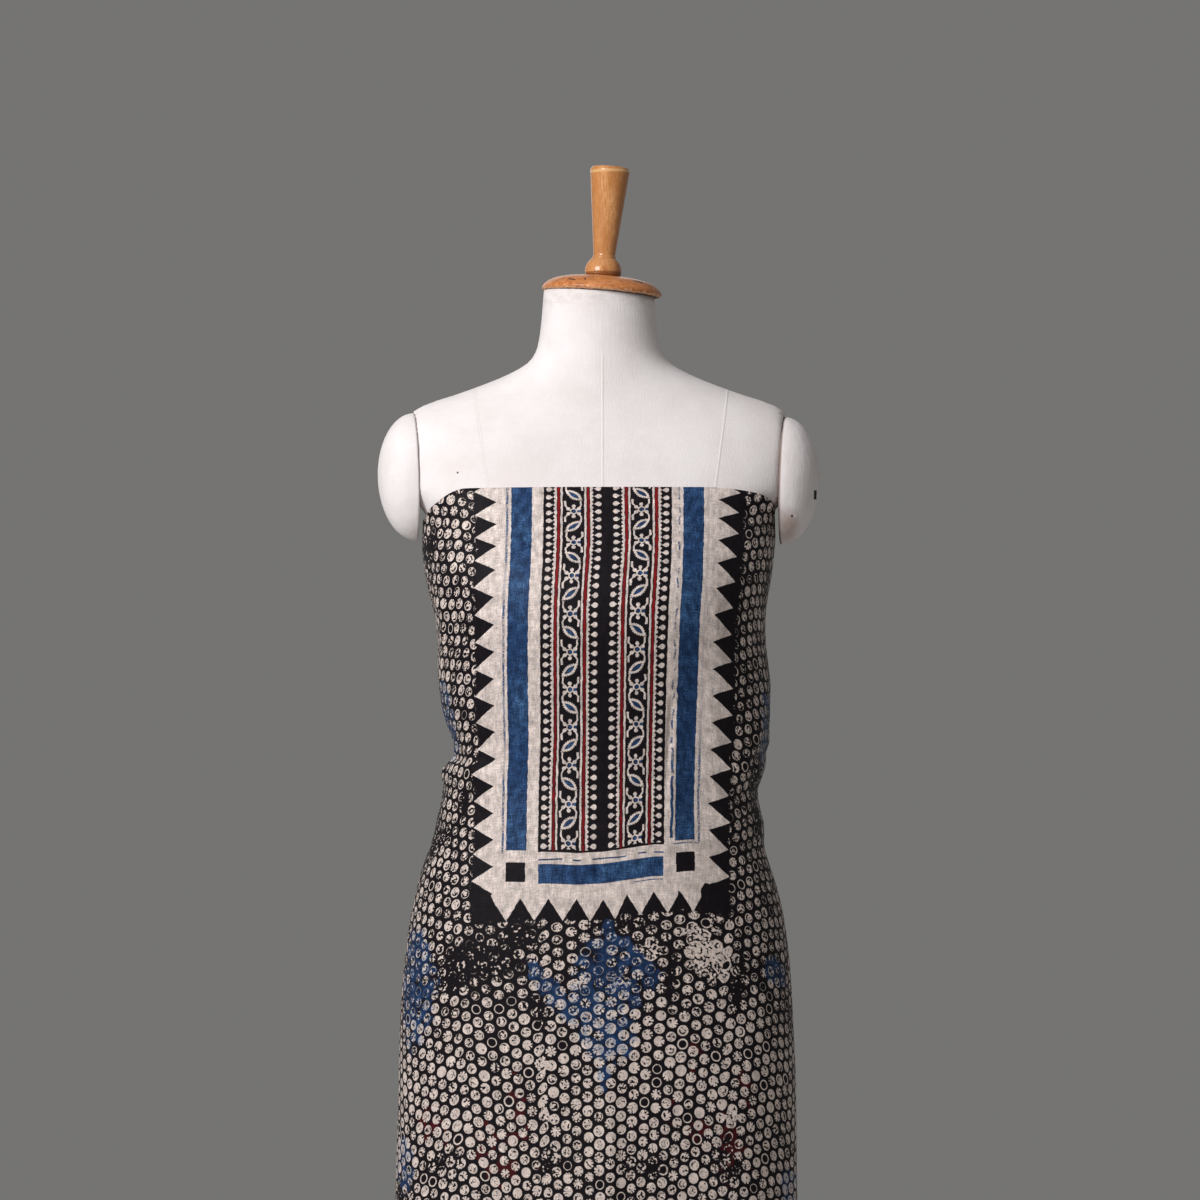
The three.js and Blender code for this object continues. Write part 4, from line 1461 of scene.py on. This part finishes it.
    @staticmethod
    def drift(rows: tuple, across: np.ndarray, depth: np.ndarray) -> np.ndarray:
        """Says how far the printed panel has drifted from its straight layout.

        Args:
            rows: Depths, each with the drift at the places of DRIFT_ACROSS.
            across: Places across the cloth.
            depth: Places down the cloth.

        Returns:
            The drift at each place.
        """
        places = np.array([row[0] for row in rows], float)
        table = np.array([row[1] for row in rows], float)
        line = np.stack([np.interp(depth[:, 0], places, table[:, i]) for i in range(table.shape[1])], axis=1)
        return np.stack([np.interp(across[0], DRIFT_ACROSS, row) for row in line])

    def panel_lie(self, across: np.ndarray, depth: np.ndarray) -> tuple[np.ndarray, np.ndarray]:
        """Gives each place of the cloth its place in the panel's straight layout."""
        aside = across - self.drift(SIDEWAYS_DRIFT, across, depth)
        return aside, depth - self.drift(DOWNWARD_DRIFT, across, depth)

    @staticmethod
    def dots_lie(across: np.ndarray, depth: np.ndarray) -> tuple[np.ndarray, np.ndarray]:
        """Gives each place its place in the dots' straight rows, which lean in toward the middle.

        Args:
            across: Places across the cloth.
            depth: Places down the cloth.

        Returns:
            The places across and down the rows.
        """
        lean = 0.12 * np.clip((across - 5) / 110, -1, 1)
        below = np.minimum(depth, 700) - 560
        seam = ease_between(-55, -49, across) * 4.5 + ease_between(117, 123, across) * 3.5
        return across + lean * below, depth + seam + 2.2 * np.sin(across / 47) + 1.5 * np.sin(depth / 61)

    @staticmethod
    def rim(rows: int, columns: int) -> list[tuple[int, ...]]:
        """Closes the sheet's four edges.

        Args:
            rows: How many rows of points each skin has.
            columns: How many points are in a row.

        Returns:
            The faces of the edges.
        """
        skin = rows * columns
        top = np.arange(columns)
        bottom = top + skin - columns
        left = np.arange(rows) * columns
        right = left + columns - 1
        faces = []
        for line, turned in ((top, False), (bottom, True), (left, True), (right, False)):
            for a, b in zip(line[:-1].tolist(), line[1:].tolist()):
                face = (a, b, b + skin, a + skin)
                faces.append(face[::-1] if turned else face)
        return faces


@dataclass
class FormCover:
    """The torso's cotton cover over its padding, from the hips to the top of the neck."""

    bottom: float = 700
    top: float = 1452
    edge_height: float = 12
    edge_drawn: float = 0.04
    sides: int = 192
    step: float = 5
    seat_gap: float = 0.3
    cap_across: float = 174.4
    cap_height: float = 1279
    toe: float = 0.13
    droop: float = 0.03
    right_drop: float = 3.6
    lean: float = 3.9
    lean_from: float = 1402
    lean_across: float = 2.5

    def ring(self, outline: np.ndarray, height: float) -> np.ndarray:
        """Places one ring of the cover.

        Args:
            outline: The figure's outline there.
            height: The ring's height.

        Returns:
            The ring's points.
        """
        closed = np.concatenate([outline, outline[:1]])
        run = np.concatenate([[0], np.cumsum(np.linalg.norm(np.diff(closed, axis=0), axis=1))])
        wanted = np.arange(self.sides) / self.sides * run[-1]
        x = np.interp(wanted, run, closed[:, 0])
        y = np.interp(wanted, run, closed[:, 1])
        edge = min(1, max(0, (height - self.bottom) / self.edge_height))
        drawn = 1 - self.edge_drawn * (1 - edge) ** 2
        drop = np.where(x < 0, 0, self.right_drop)
        over = height - self.cap_height + drop
        face = self.cap_across + self.toe * y + self.droop * over - self.seat_gap
        x = np.clip(x * drawn, -face, face)
        tilt = math.tan(math.radians(self.lean)) * ease_between(self.lean_from, self.top, height)
        return np.stack([x, y * drawn, height - (x - self.lean_across) * tilt], axis=1)

    def build(self) -> bpy.types.Object:
        """Lofts the cover through its rings.

        Returns:
            The cover.
        """
        heights = np.concatenate([
            [self.bottom, self.bottom + 4, self.bottom + 8],
            np.linspace(self.bottom + 12, self.top, round((self.top - self.bottom - 12) / self.step))])
        outlines = Figure().outlines(heights, 576)
        rings = [self.ring(outline, height) for outline, height in zip(outlines, heights)]
        points = np.concatenate(rings)
        faces = grid_faces(len(rings), self.sides, 0, True, True)
        faces.append(tuple(range(self.sides))[::-1])
        faces.append(tuple(range(len(points) - self.sides, len(points))))
        return settle(mesh_piece("form_cover", points, faces), Slot.COVER, "torso")


@dataclass
class ArmCap:
    """One arm cap: half of a squashed ball on its armhole."""

    name: str
    side: int
    drop: float
    node: str
    out: float = 35.6
    up: float = 60.5
    deep: float = 45
    across: float = 174.4
    height: float = 1279
    toe: float = 0.13
    droop: float = 0.03
    sides: int = 96
    rings: int = 28

    def basis(self) -> np.ndarray:
        """Works out the cap's own directions.

        Returns:
            The directions up, along and out, as columns.
        """
        out = np.array([self.side, -self.toe, -self.droop], float)
        out /= np.linalg.norm(out)
        along = np.array([0, 1, 0]) - out * out[1]
        along /= np.linalg.norm(along)
        return np.stack([np.cross(along, out), along, out], axis=1)

    def build(self) -> bpy.types.Object:
        """Turns the half ball and sets it on its armhole.

        Returns:
            The cap.
        """
        turn = np.arange(self.sides) / self.sides * 2 * math.pi
        rings = []
        for lift in np.linspace(0, math.pi / 2, self.rings + 1)[:-1]:
            rings.append(np.stack([
                self.up * math.cos(lift) * np.cos(turn), self.deep * math.cos(lift) * np.sin(turn),
                np.full(self.sides, self.out * math.sin(lift))], axis=1))
        points = np.concatenate([*rings, [[0, 0, self.out]], [[0, 0, 0]]])
        centre = np.array([self.side * self.across, 0, self.height - self.drop])
        points = points @ self.basis().T + centre
        faces = grid_faces(self.rings, self.sides, 0, True, True)
        top, base = len(points) - 2, len(points) - 1
        last = (self.rings - 1) * self.sides
        for i in range(self.sides):
            j = (i + 1) % self.sides
            faces.append((last + i, last + j, top))
            faces.append((j, i, base))
        return settle(mesh_piece(self.name, points, faces), Slot.COVER, self.node)


def turned(name: str, outline: list[tuple[float, float]], sides: int) -> bpy.types.Object:
    """Turns a solid round the Z axis.

    Args:
        name: The piece's name.
        outline: Radii and heights from the middle of its underside to the middle of its top.
        sides: How many sides go round.

    Returns:
        The solid.
    """
    turn = np.arange(sides) / sides * 2 * math.pi
    rings = [np.stack([r * np.cos(turn), r * np.sin(turn), np.full(sides, z)], axis=1)
             for r, z in outline[1:-1]]
    low, high = outline[0][1], outline[-1][1]
    points = np.concatenate([*rings, [[0, 0, low]], [[0, 0, high]]])
    faces = grid_faces(len(rings), sides, 0, True, True)
    last = (len(rings) - 1) * sides
    for i in range(sides):
        j = (i + 1) % sides
        faces.append((j, i, len(points) - 2))
        faces.append((last + i, last + j, len(points) - 1))
    return mesh_piece(name, points, faces)


def rounded(outline: list[tuple[float, float]], radius: float, steps: int) -> list[tuple[float, float]]:
    """Rounds the corners of a half outline.

    Args:
        outline: Radii and heights.
        radius: How far from a corner the round starts, at most.
        steps: How many short sides make one round.

    Returns:
        The rounded half outline.
    """
    result = [outline[0]]
    for before, corner, after in zip(outline[:-2], outline[1:-1], outline[2:]):
        a, b, c = (np.array(p, float) for p in (before, corner, after))
        reach_in = min(radius, np.linalg.norm(a - b) * 0.45)
        reach_out = min(radius, np.linalg.norm(c - b) * 0.45)
        start = b + (a - b) / max(np.linalg.norm(a - b), 1e-9) * reach_in
        end = b + (c - b) / max(np.linalg.norm(c - b), 1e-9) * reach_out
        for t in np.linspace(0, 1, steps + 1):
            result.append(tuple((1 - t) ** 2 * start + 2 * t * (1 - t) * b + t * t * end))
    result.append(outline[-1])
    return result


@dataclass
class Crown:
    """The wooden cap on the neck and the turned handle on it, which lean to the right together."""

    across: float = 2.5
    back: float = 2
    lean: float = 3.9
    base: float = 1452
    seat_gap: float = 0.3
    cap_radius: float = 57.2
    cap_height: float = 17.6
    handle_radius: float = 19
    handle_height: float = 103.6

    def place(self, piece: bpy.types.Object) -> bpy.types.Object:
        """Leans a piece with the crown and writes its place into its mesh.

        Args:
            piece: The piece, upright over the origin.

        Returns:
            The same piece.
        """
        turn = Matrix.Rotation(math.radians(self.lean), 4, "Y")
        spot = Matrix.Translation(Vector((self.across, self.back, self.base)) * MM)
        piece.data.transform(spot @ turn)
        return piece

    def build_cap(self) -> bpy.types.Object:
        """Turns the low dome.

        Returns:
            The neck cap.
        """
        r, h, gap = self.cap_radius, self.cap_height, self.seat_gap
        outline = [
            (0, gap), (r - 4, gap), (r - 1, 1.4), (r, 3.6), (r - 1.6, 6.6), (r - 5.5, 10.2),
            (r - 12, 13.4), (r - 22, 15.8), (r - 38, h), (0, h)]
        dome = self.place(turned("neck_cap_wood", rounded(outline, 3, 4), 128))
        return settle(dome, Slot.CAP_WOOD, "neck_cap")

    def build_handle(self) -> bpy.types.Object:
        """Turns the handle.

        Returns:
            The handle.
        """
        foot = self.cap_height + self.seat_gap
        r, h = self.handle_radius, self.handle_height
        outline = [
            (0, 0), (16.6, 0), (17.5, 2.6), (17.3, 7), (15.7, 11.5), (12.8, 15.2), (10.9, 16.8),
            (11.2, 18.2), (10.3, 19.4), (r - 0.4, h - 5), (r, h - 3.4), (r - 1.8, h), (0, h)]
        lifted = [(x, z + foot) for x, z in rounded(outline, 1.6, 4)]
        grip = self.place(turned("handle_turned", lifted, 96))
        return settle(grip, Slot.HANDLE_WOOD, "handle")


@dataclass
class Stand:
    """The pole and the round base."""

    pole_radius: float = 16
    base_radius: float = 220
    floor: float = 6
    gap: float = 0.3
    pole_top: float = 779.7

    def build(self, paint: bpy.types.Material) -> None:
        """Turns both pieces of the stand and paints them.

        Args:
            paint: Their finish.
        """
        low = self.floor + self.gap
        pole = [(0, low), (self.pole_radius, low), (self.pole_radius, self.pole_top), (0, self.pole_top)]
        tube = turned("stand_pole_tube", rounded(pole, 1, 3), 64)
        settle(tube, Slot.STAND_METAL, "stand_pole")
        r, socket = self.base_radius, self.pole_radius + self.gap
        base = [
            (0, self.floor), (socket, self.floor), (socket, 50), (26, 50), (28, 48), (28, 27),
            (33, 22), (r - 16, 15), (r - 4, 12), (r, 7), (r, 2), (r - 2, 0), (0, 0)]
        plate = turned("stand_base_plate", rounded(base[::-1], 2, 3), 160)
        settle(plate, Slot.STAND_METAL, "stand_base")
        for piece in (tube, plate):
            piece.data.materials.append(paint)


@dataclass(frozen=True)
class FloorPaint:
    """The floor's plain pale finish."""

    colour: tuple[float, float, float] = (0.72, 0.71, 0.69)
    roughness: float = 0.8

    def finish(self) -> bpy.types.Material:
        """Paints the floor.

        Returns:
            The material.
        """
        f = Finish("floor_pale")
        f.set(Base_Color=self.colour, Roughness=self.roughness)
        return f.material


@dataclass(frozen=True)
class Cotton:
    """The form's matte white cotton: its weave, its seams and its few small marks, with painted shade and
    painted highlights at its seams, armholes and stud.
    """

    thread: float = 0.9
    middle_seam: float = 3
    seam_low: float = 1273
    left_seam: tuple[float, float] = (-104, 0.156)
    right_seam: tuple[float, float] = (109, 0.143)
    seam_top: float = 1392
    neck_grime_from: float = 1440
    pin: tuple[float, float] = (-132, 1281)
    cap_brown_patch_middle: tuple[float, float] = (179, 1232)
    stud_place: tuple[float, float] = (184.6, 1241.4)
    stud_shade: tuple[float, float] = (181.6, 1241)
    mark_across: tuple[float, float] = (202.9, 205.9)
    mark_up: tuple[float, float] = (1257, 1265.6)
    white: tuple[float, float, float] = seen(240, 233, 233)
    yellowed: tuple[float, float, float] = seen(228, 219, 216)
    grimy: tuple[float, float, float] = seen(176, 160, 146)
    seam_painted_shade: tuple[float, float, float] = seen(206, 198, 194)
    seam_painted_highlight: tuple[float, float, float] = seen(253, 248, 246)
    pin_hole: tuple[float, float, float] = seen(70, 60, 56)
    armhole_painted_shade: tuple[float, float, float] = seen(104, 74, 62)
    cap_brown_patch: tuple[float, float, float] = seen(170, 124, 106)
    stud_painted_shadow: tuple[float, float, float] = seen(60, 50, 48)
    stud: tuple[float, float, float] = seen(240, 234, 226)
    mark: tuple[float, float, float] = seen(24, 21, 22)

    def weave(self, f: Finish, x: Value, y: Value, z: Value) -> Value:
        """Makes the cloth's threads, stronger down than across.

        Args:
            f: The finish.
            x: The place from left to right.
            y: The place from front to back.
            z: The height.

        Returns:
            How thick the threads are, about 0.3 to 0.7.
        """
        down = f.noise(f.place(x * self.thread, y * self.thread, z * 0.05), 1, 2, flat=False)
        over = f.noise(f.place(x * 0.06, y * 0.06, z * self.thread), 1, 1, flat=False)
        return down.times_plus(0.65, over * 0.35)

    def cloth(self, f: Finish, x: Value, y: Value, z: Value) -> bpy.types.NodeSocket:
        """Colours the cotton, a little uneven and yellowed.

        Args:
            f: The finish.
            x: The place from left to right.
            y: The place from front to back.
            z: The height.

        Returns:
            The colour.
        """
        soft = f.noise(f.place(x, y, z), 0.02, 3, 0.6, flat=False)
        return f.paint(self.white, self.yellowed, soft.above(0.5, 0.25) * 0.6)

    def torso(self) -> bpy.types.Material:
        """Finishes the torso's cover, with its seams, each a bump ridge with a painted highlight along it
        and painted shade beside it.

        Returns:
            The material.
        """
        f = Finish("form_cotton")
        x, y, z = f.solid_place()
        colour = self.cloth(f, x, y, z)
        rise = z - self.seam_low
        left = abs(x - rise * -self.left_seam[1] - self.left_seam[0])
        right = abs(x - rise * self.right_seam[1] - self.right_seam[0])
        seam = abs(x - self.middle_seam).least(left + 0.4).least(right)
        front = y.below(0) * z.below(self.seam_top, 8)
        dirt = f.noise(f.place(x, y, z * 2), 0.09, 3, 0.7, flat=False)
        grime = z.above(self.neck_grime_from, 8) * dirt.above(0.5, 0.2)
        colour = f.paint(colour, self.grimy, grime * 0.22)
        # Painted shade: a soft darker band along each front seam stands in for the shade beside the seam's
        # ridge.
        colour = f.paint(colour, self.seam_painted_shade, seam.below(1.7, 1) * front * 0.35)
        # Painted highlight: a light line down the middle of each front seam stands in for light on the
        # seam's ridge.
        colour = f.paint(colour, self.seam_painted_highlight, seam.below(0.6, 0.6) * front * 0.9)
        pin = f.distance(x - self.pin[0], z - self.pin[1]).below(0.9, 0.5) * y.below(0)
        colour = f.paint(colour, self.pin_hole, pin)
        threads = self.weave(f, x, y, z)
        colour = f.shade(colour, threads.times_plus(0.16, 0.92))
        f.set(Base_Color=colour, Roughness=threads.times_plus(0.2, 0.75))
        f.set(Sheen_Weight=0.1, Specular_IOR_Level=0.2)
        x, y, z = f.solid_place()
        rise = z - self.seam_low
        right = abs(x - rise * self.right_seam[1] - self.right_seam[0])
        seam = abs(x - self.middle_seam).least(right)
        ridge = seam.below(0.5, 2.4) * z.below(self.seam_top, 8)
        f.relief(self.weave(f, x, y, z) * 0.6 + ridge * 0.6, 0.0007)
        return f.material

    def arm_cap(self, cap: "ArmCap") -> bpy.types.Material:
        """Finishes one arm cap's cover, with the marks that this side shows, painted shade towards its
        groove by the torso, and on the right a painted shadow beside the stud.

        Args:
            cap: The cap.

        Returns:
            The material.
        """
        f = Finish(cap.name + "_cotton")
        x, y, z = f.solid_place()
        colour = self.cloth(f, x, y, z)
        level = cap.height - cap.drop
        face = x * cap.side - cap.across - y * cap.toe - (z - level) * cap.droop
        # Painted shade: the cap darkens towards its groove by the torso, strongly on the right cap and
        # faintly on the left, for the shade that falls there.
        near = face.below(1.6 if cap.side > 0 else 0.8, 1.2)
        colour = f.paint(colour, self.armhole_painted_shade, near * (0.8 if cap.side > 0 else 0.1))
        if cap.side > 0:
            # A soft brownish patch darkens the right cap's lower inner side around the stud.
            aside, above = x - self.cap_brown_patch_middle[0], z - self.cap_brown_patch_middle[1]
            stain = f.distance(aside * 0.6, above * 0.35)
            stain = stain + f.noise(f.place(x, y, z), 0.2, 2, flat=False) * 3
            colour = f.paint(colour, self.cap_brown_patch, stain.below(6, 5) * 0.55)
            # Painted shadow: a dark disc just left of the stud stands in for the shadow that the stud casts.
            shade = f.distance(x - self.stud_shade[0], z - self.stud_shade[1])
            colour = f.paint(colour, self.stud_painted_shadow, shade.below(1.1, 0.5))
            stud = f.distance(x - self.stud_place[0], z - self.stud_place[1])
            colour = f.paint(colour, self.stud, stud.below(1.7, 0.5))
            mark = x.between(*self.mark_across, 0.4) * z.between(*self.mark_up, 0.4) * y.below(0)
            colour = f.paint(colour, self.mark, mark)
        threads = self.weave(f, x, y, z)
        colour = f.shade(colour, threads.times_plus(0.16, 0.92))
        f.set(Base_Color=colour, Roughness=threads.times_plus(0.2, 0.75))
        f.set(Sheen_Weight=0.1, Specular_IOR_Level=0.2)
        x, y, z = f.solid_place()
        wrinkle = f.noise(f.place(x, y, z * 0.3), 0.09, 2, flat=False)
        f.relief(self.weave(f, x, y, z) * 0.35 + wrinkle * 1.2, 0.0007)
        return f.material


@dataclass(frozen=True)
class Varnish:
    """The wood of the neck cap and the handle under its varnish."""

    base: float = 1452
    lean: float = 0.068
    long_dent: tuple[tuple[float, float], ...] = ((-28, 1463.8), (-22.5, 1462.4))
    round_dent: tuple[float, float] = (-13, 1463.2)
    right_dent: tuple[tuple[float, float], ...] = ((33, 1462.4), (41, 1460.6))
    handle_foot: float = 1473.5
    handle_rim: tuple[float, float] = (1567.5, 1570)
    orange: tuple[float, float, float] = seen(178, 98, 48)
    light_grain: tuple[float, float, float] = seen(218, 144, 86)
    brown_patch: tuple[float, float, float] = seen(150, 78, 38)
    scratched: tuple[float, float, float] = seen(228, 178, 128)
    bare_lip: tuple[float, float, float] = seen(226, 176, 134)
    lip_painted_shade: tuple[float, float, float] = seen(72, 46, 46)
    dent: tuple[float, float, float] = seen(66, 40, 34)
    honey: tuple[float, float, float] = seen(184, 118, 64)
    pale_honey: tuple[float, float, float] = seen(228, 168, 112)
    honey_band: tuple[float, float, float] = seen(186, 118, 62)
    pore: tuple[float, float, float] = seen(122, 68, 34)
    foot_painted_shade: tuple[float, float, float] = seen(110, 60, 30)
    top_rim_painted_highlight: tuple[float, float, float] = seen(238, 196, 140)

    def cap(self) -> bpy.types.Material:
        """Finishes the neck cap: orange-brown varnish, worn pale and chipped at the lip, with painted shade
        along its lower edge.

        Returns:
            The material.
        """
        f = Finish("cap_varnish")
        x, y, z = f.solid_place()
        height = z - self.base + x * self.lean
        grain = f.noise(f.place(x * 0.05, y * 0.5, z * 0.5), 1, 3, 0.6, flat=False)
        patch = f.noise(f.place(x, y, z), 0.07, 3, 0.7, flat=False)
        colour = f.paint(self.orange, self.light_grain, grain.above(0.5, 0.35))
        colour = f.paint(colour, self.brown_patch, patch.above(0.62, 0.1) * 0.5)
        scratch = f.noise(f.place(x * 0.12, y * 0.3, z * 0.9), 1, 2, flat=False)
        scratch = abs(scratch - 0.5).below(0.012, 0.02)
        colour = f.paint(colour, self.scratched, scratch * 0.5)
        chip = f.noise(f.place(x, y, z), 0.22, 3, 0.7, flat=False)
        lip = (height + chip.times_plus(-12, 6)).below(2.4, 0.8)
        colour = f.paint(colour, self.bare_lip, lip * 0.8)
        # Painted shade: a thin, uneven dark line along the cap's lower edge, where it sits on the neck.
        colour = f.paint(colour, self.lip_painted_shade, (height + chip.times_plus(-4, 2)).below(0.9, 0.5))
        dents = f.stroke(x, z, *self.long_dent) - 0.3
        dents = dents.least(f.distance(x - self.round_dent[0], z - self.round_dent[1]) - 0.7)
        dents = dents.least(f.stroke(x, z, *self.right_dent) - 0.4)
        colour = f.paint(colour, self.dent, dents.below(0.3, 0.5) * y.below(0))
        f.set(Base_Color=colour, Roughness=lip.times_plus(0.4, patch.times_plus(0.3, 0.14)))
        f.set(Coat_Weight=0.2, Coat_Roughness=0.22, Specular_IOR_Level=0.35)
        x, y, z = f.solid_place()
        height = z - self.base + x * self.lean
        ripple = f.noise(f.place(x, y, z), 0.3, 2, flat=False)
        f.relief(ripple * height.below(6, 6).times_plus(0.9, 0.1), 0.0012)
        return f.material

    def handle(self) -> bpy.types.Material:
        """Finishes the handle: glossy honey varnish over speckled upright grain, with painted shade at its
        foot and a painted highlight round its top rim.

        Returns:
            The material.
        """
        f = Finish("handle_varnish")
        x, y, z = f.solid_place()
        grain = f.noise(f.place(x * 1.1, y * 1.1, z * 0.06), 1, 3, 0.65, flat=False)
        band = f.noise(f.place(x * 0.12, y * 0.12, z * 0.01), 1, 2, flat=False)
        colour = f.paint(self.honey, self.pale_honey, grain.above(0.5, 0.4))
        colour = f.paint(colour, self.honey_band, band.above(0.5, 0.2) * 0.6)
        pores = f.noise(f.place(x * 2.4, y * 2.4, z * 0.25), 1, 1, flat=False).above(0.66, 0.05)
        colour = f.paint(colour, self.pore, pores * 0.6)
        # Painted shade: the handle darkens at its foot, where it sits on the cap.
        foot = z.below(self.handle_foot, 1)
        colour = f.paint(colour, self.foot_painted_shade, foot * 0.7)
        # Painted highlight: a pale band round the handle's top rim stands in for light on its rounded edge.
        colour = f.paint(colour, self.top_rim_painted_highlight, z.between(*self.handle_rim, 1) * 0.6)
        f.set(Base_Color=colour, Roughness=band.times_plus(0.16, 0.16))
        f.set(Coat_Weight=0.3, Coat_Roughness=0.12, Specular_IOR_Level=0.35)
        x, y, z = f.solid_place()
        f.relief(f.noise(f.place(x * 1.1, y * 1.1, z * 0.06), 1, 1, flat=False), 0.0002)
        return f.material


@dataclass(frozen=True)
class SatinBlack:
    """The stand's satin black paint, rubbed a little along its edges and dusty."""

    rim_from: float = 216
    black: tuple[float, float, float] = seen(34, 34, 36)
    dull: tuple[float, float, float] = seen(48, 47, 48)
    rubbed: tuple[float, float, float] = seen(120, 118, 116)
    dusty: tuple[float, float, float] = seen(86, 84, 82)

    def finish(self) -> bpy.types.Material:
        """Paints the stand.

        Returns:
            The material.
        """
        f = Finish("satin_black")
        x, y, z = f.solid_place()
        fine = f.noise(f.place(x, y, z), 0.5, 3, 0.6, flat=False)
        away = f.distance(x, y)
        rim = away.above(self.rim_from, 3) * z.between(6, 13, 3) * fine.above(0.5, 0.1)
        colour = f.paint(self.black, self.dull, fine.above(0.5, 0.3))
        colour = f.paint(colour, self.rubbed, rim * 0.5)
        dust = f.noise(f.place(x, y, z), 0.03, 3, 0.6, flat=False).above(0.5, 0.3) * away.above(30, 60)
        colour = f.paint(colour, self.dusty, dust * 0.25)
        f.set(Base_Color=colour, Roughness=fine.times_plus(0.3, 0.25))
        x, y, z = f.solid_place()
        f.relief(f.noise(f.place(x, y, z), 0.8, 1, flat=False), 0.00015)
        return f.material


class Lamp(NamedTuple):
    """A soft square light: its name, its place, its power in watts and its side."""

    name: str
    place: tuple[float, float, float]
    power: float
    side: float


LAMPS = (
    Lamp("key_light", (-1.4, -1.8, 2.3), 60, 1.0),
    Lamp("fill_light", (2.6, -3.0, 1.6), 0.6, 2.0),
    Lamp("top_light", (0.0, -0.4, 3.6), 4, 1.6),
    Lamp("back_light", (-0.6, 3.0, 2.2), 8, 2.0),
)


@dataclass
class Studio:
    """The plain floor, the soft lights and the camera."""

    eye: tuple[float, float, float] = (0.001, -3.5, 1.162)
    frame_width: float = 1.14
    floor_radius: float = 3.4
    floor_sides: int = 96
    air: tuple[float, float, float] = (0.80, 0.79, 0.77)
    air_strength: float = 0.22
    aim: tuple[float, float, float] = (0, 0, 1.35)

    def build(self) -> None:
        """Sets up floor, world, lights and camera."""
        self.add_floor()
        self.add_world()
        for lamp in LAMPS:
            self.add_light(lamp)
        self.add_camera()
        bpy.context.scene.view_settings.view_transform = "Standard"

    def add_floor(self) -> None:
        """Lays a plain pale floor."""
        turn = np.arange(self.floor_sides) / self.floor_sides * 2 * math.pi
        rim = np.stack([np.cos(turn), np.sin(turn), np.zeros(self.floor_sides)], axis=1)
        floor = mesh_piece("floor", rim * self.floor_radius / MM, [tuple(range(self.floor_sides))])
        floor.data.materials.append(FloorPaint().finish())

    def add_world(self) -> None:
        """Lights the room evenly and palely."""
        world = bpy.data.worlds.new("studio")
        world.use_nodes = True
        background = world.node_tree.nodes["Background"]
        background.inputs["Color"].default_value = (*self.air, 1)
        background.inputs["Strength"].default_value = self.air_strength
        bpy.context.scene.world = world

    def add_light(self, lamp: Lamp) -> None:
        """Hangs one soft light that faces the form's chest.

        Args:
            lamp: The light.
        """
        data = bpy.data.lights.new(lamp.name, "AREA")
        data.energy = lamp.power
        data.size = lamp.side
        light = bpy.data.objects.new(lamp.name, data)
        light.location = lamp.place
        way = Vector(self.aim) - Vector(lamp.place)
        light.rotation_euler = way.to_track_quat("-Z", "Y").to_euler()
        bpy.context.scene.collection.objects.link(light)

    def add_camera(self) -> None:
        """Stands the camera level in front of the form."""
        data = bpy.data.cameras.new("camera")
        data.sensor_fit = "HORIZONTAL"
        data.angle = 2 * math.atan(self.frame_width / 2 / abs(self.eye[1]))
        camera = bpy.data.objects.new("camera", data)
        camera.location = self.eye
        camera.rotation_euler = (math.pi / 2, 0, 0)
        bpy.context.scene.collection.objects.link(camera)
        bpy.context.scene.camera = camera


def main() -> None:
    """Builds the form, the cloth and the stand, and dresses them."""
    Studio().build()
    cotton = Cotton()
    FormCover().build().data.materials.append(cotton.torso())
    for cap in (
            ArmCap("arm_cap_cover_left", -1, 0, "arm_cap_left"),
            ArmCap("arm_cap_cover_right", 1, 3.6, "arm_cap_right")):
        cap.build().data.materials.append(cotton.arm_cap(cap))
    crown, varnish = Crown(), Varnish()
    crown.build_cap().data.materials.append(varnish.cap())
    crown.build_handle().data.materials.append(varnish.handle())
    Stand().build(SatinBlack().finish())
    silk = Silk(HangingCloth()).build()
    silk.data.materials.append(AjrakhPrint().finish())


if __name__ == "__main__":
    logging.basicConfig(level=logging.INFO, format="%(name)s: %(message)s")
    main()
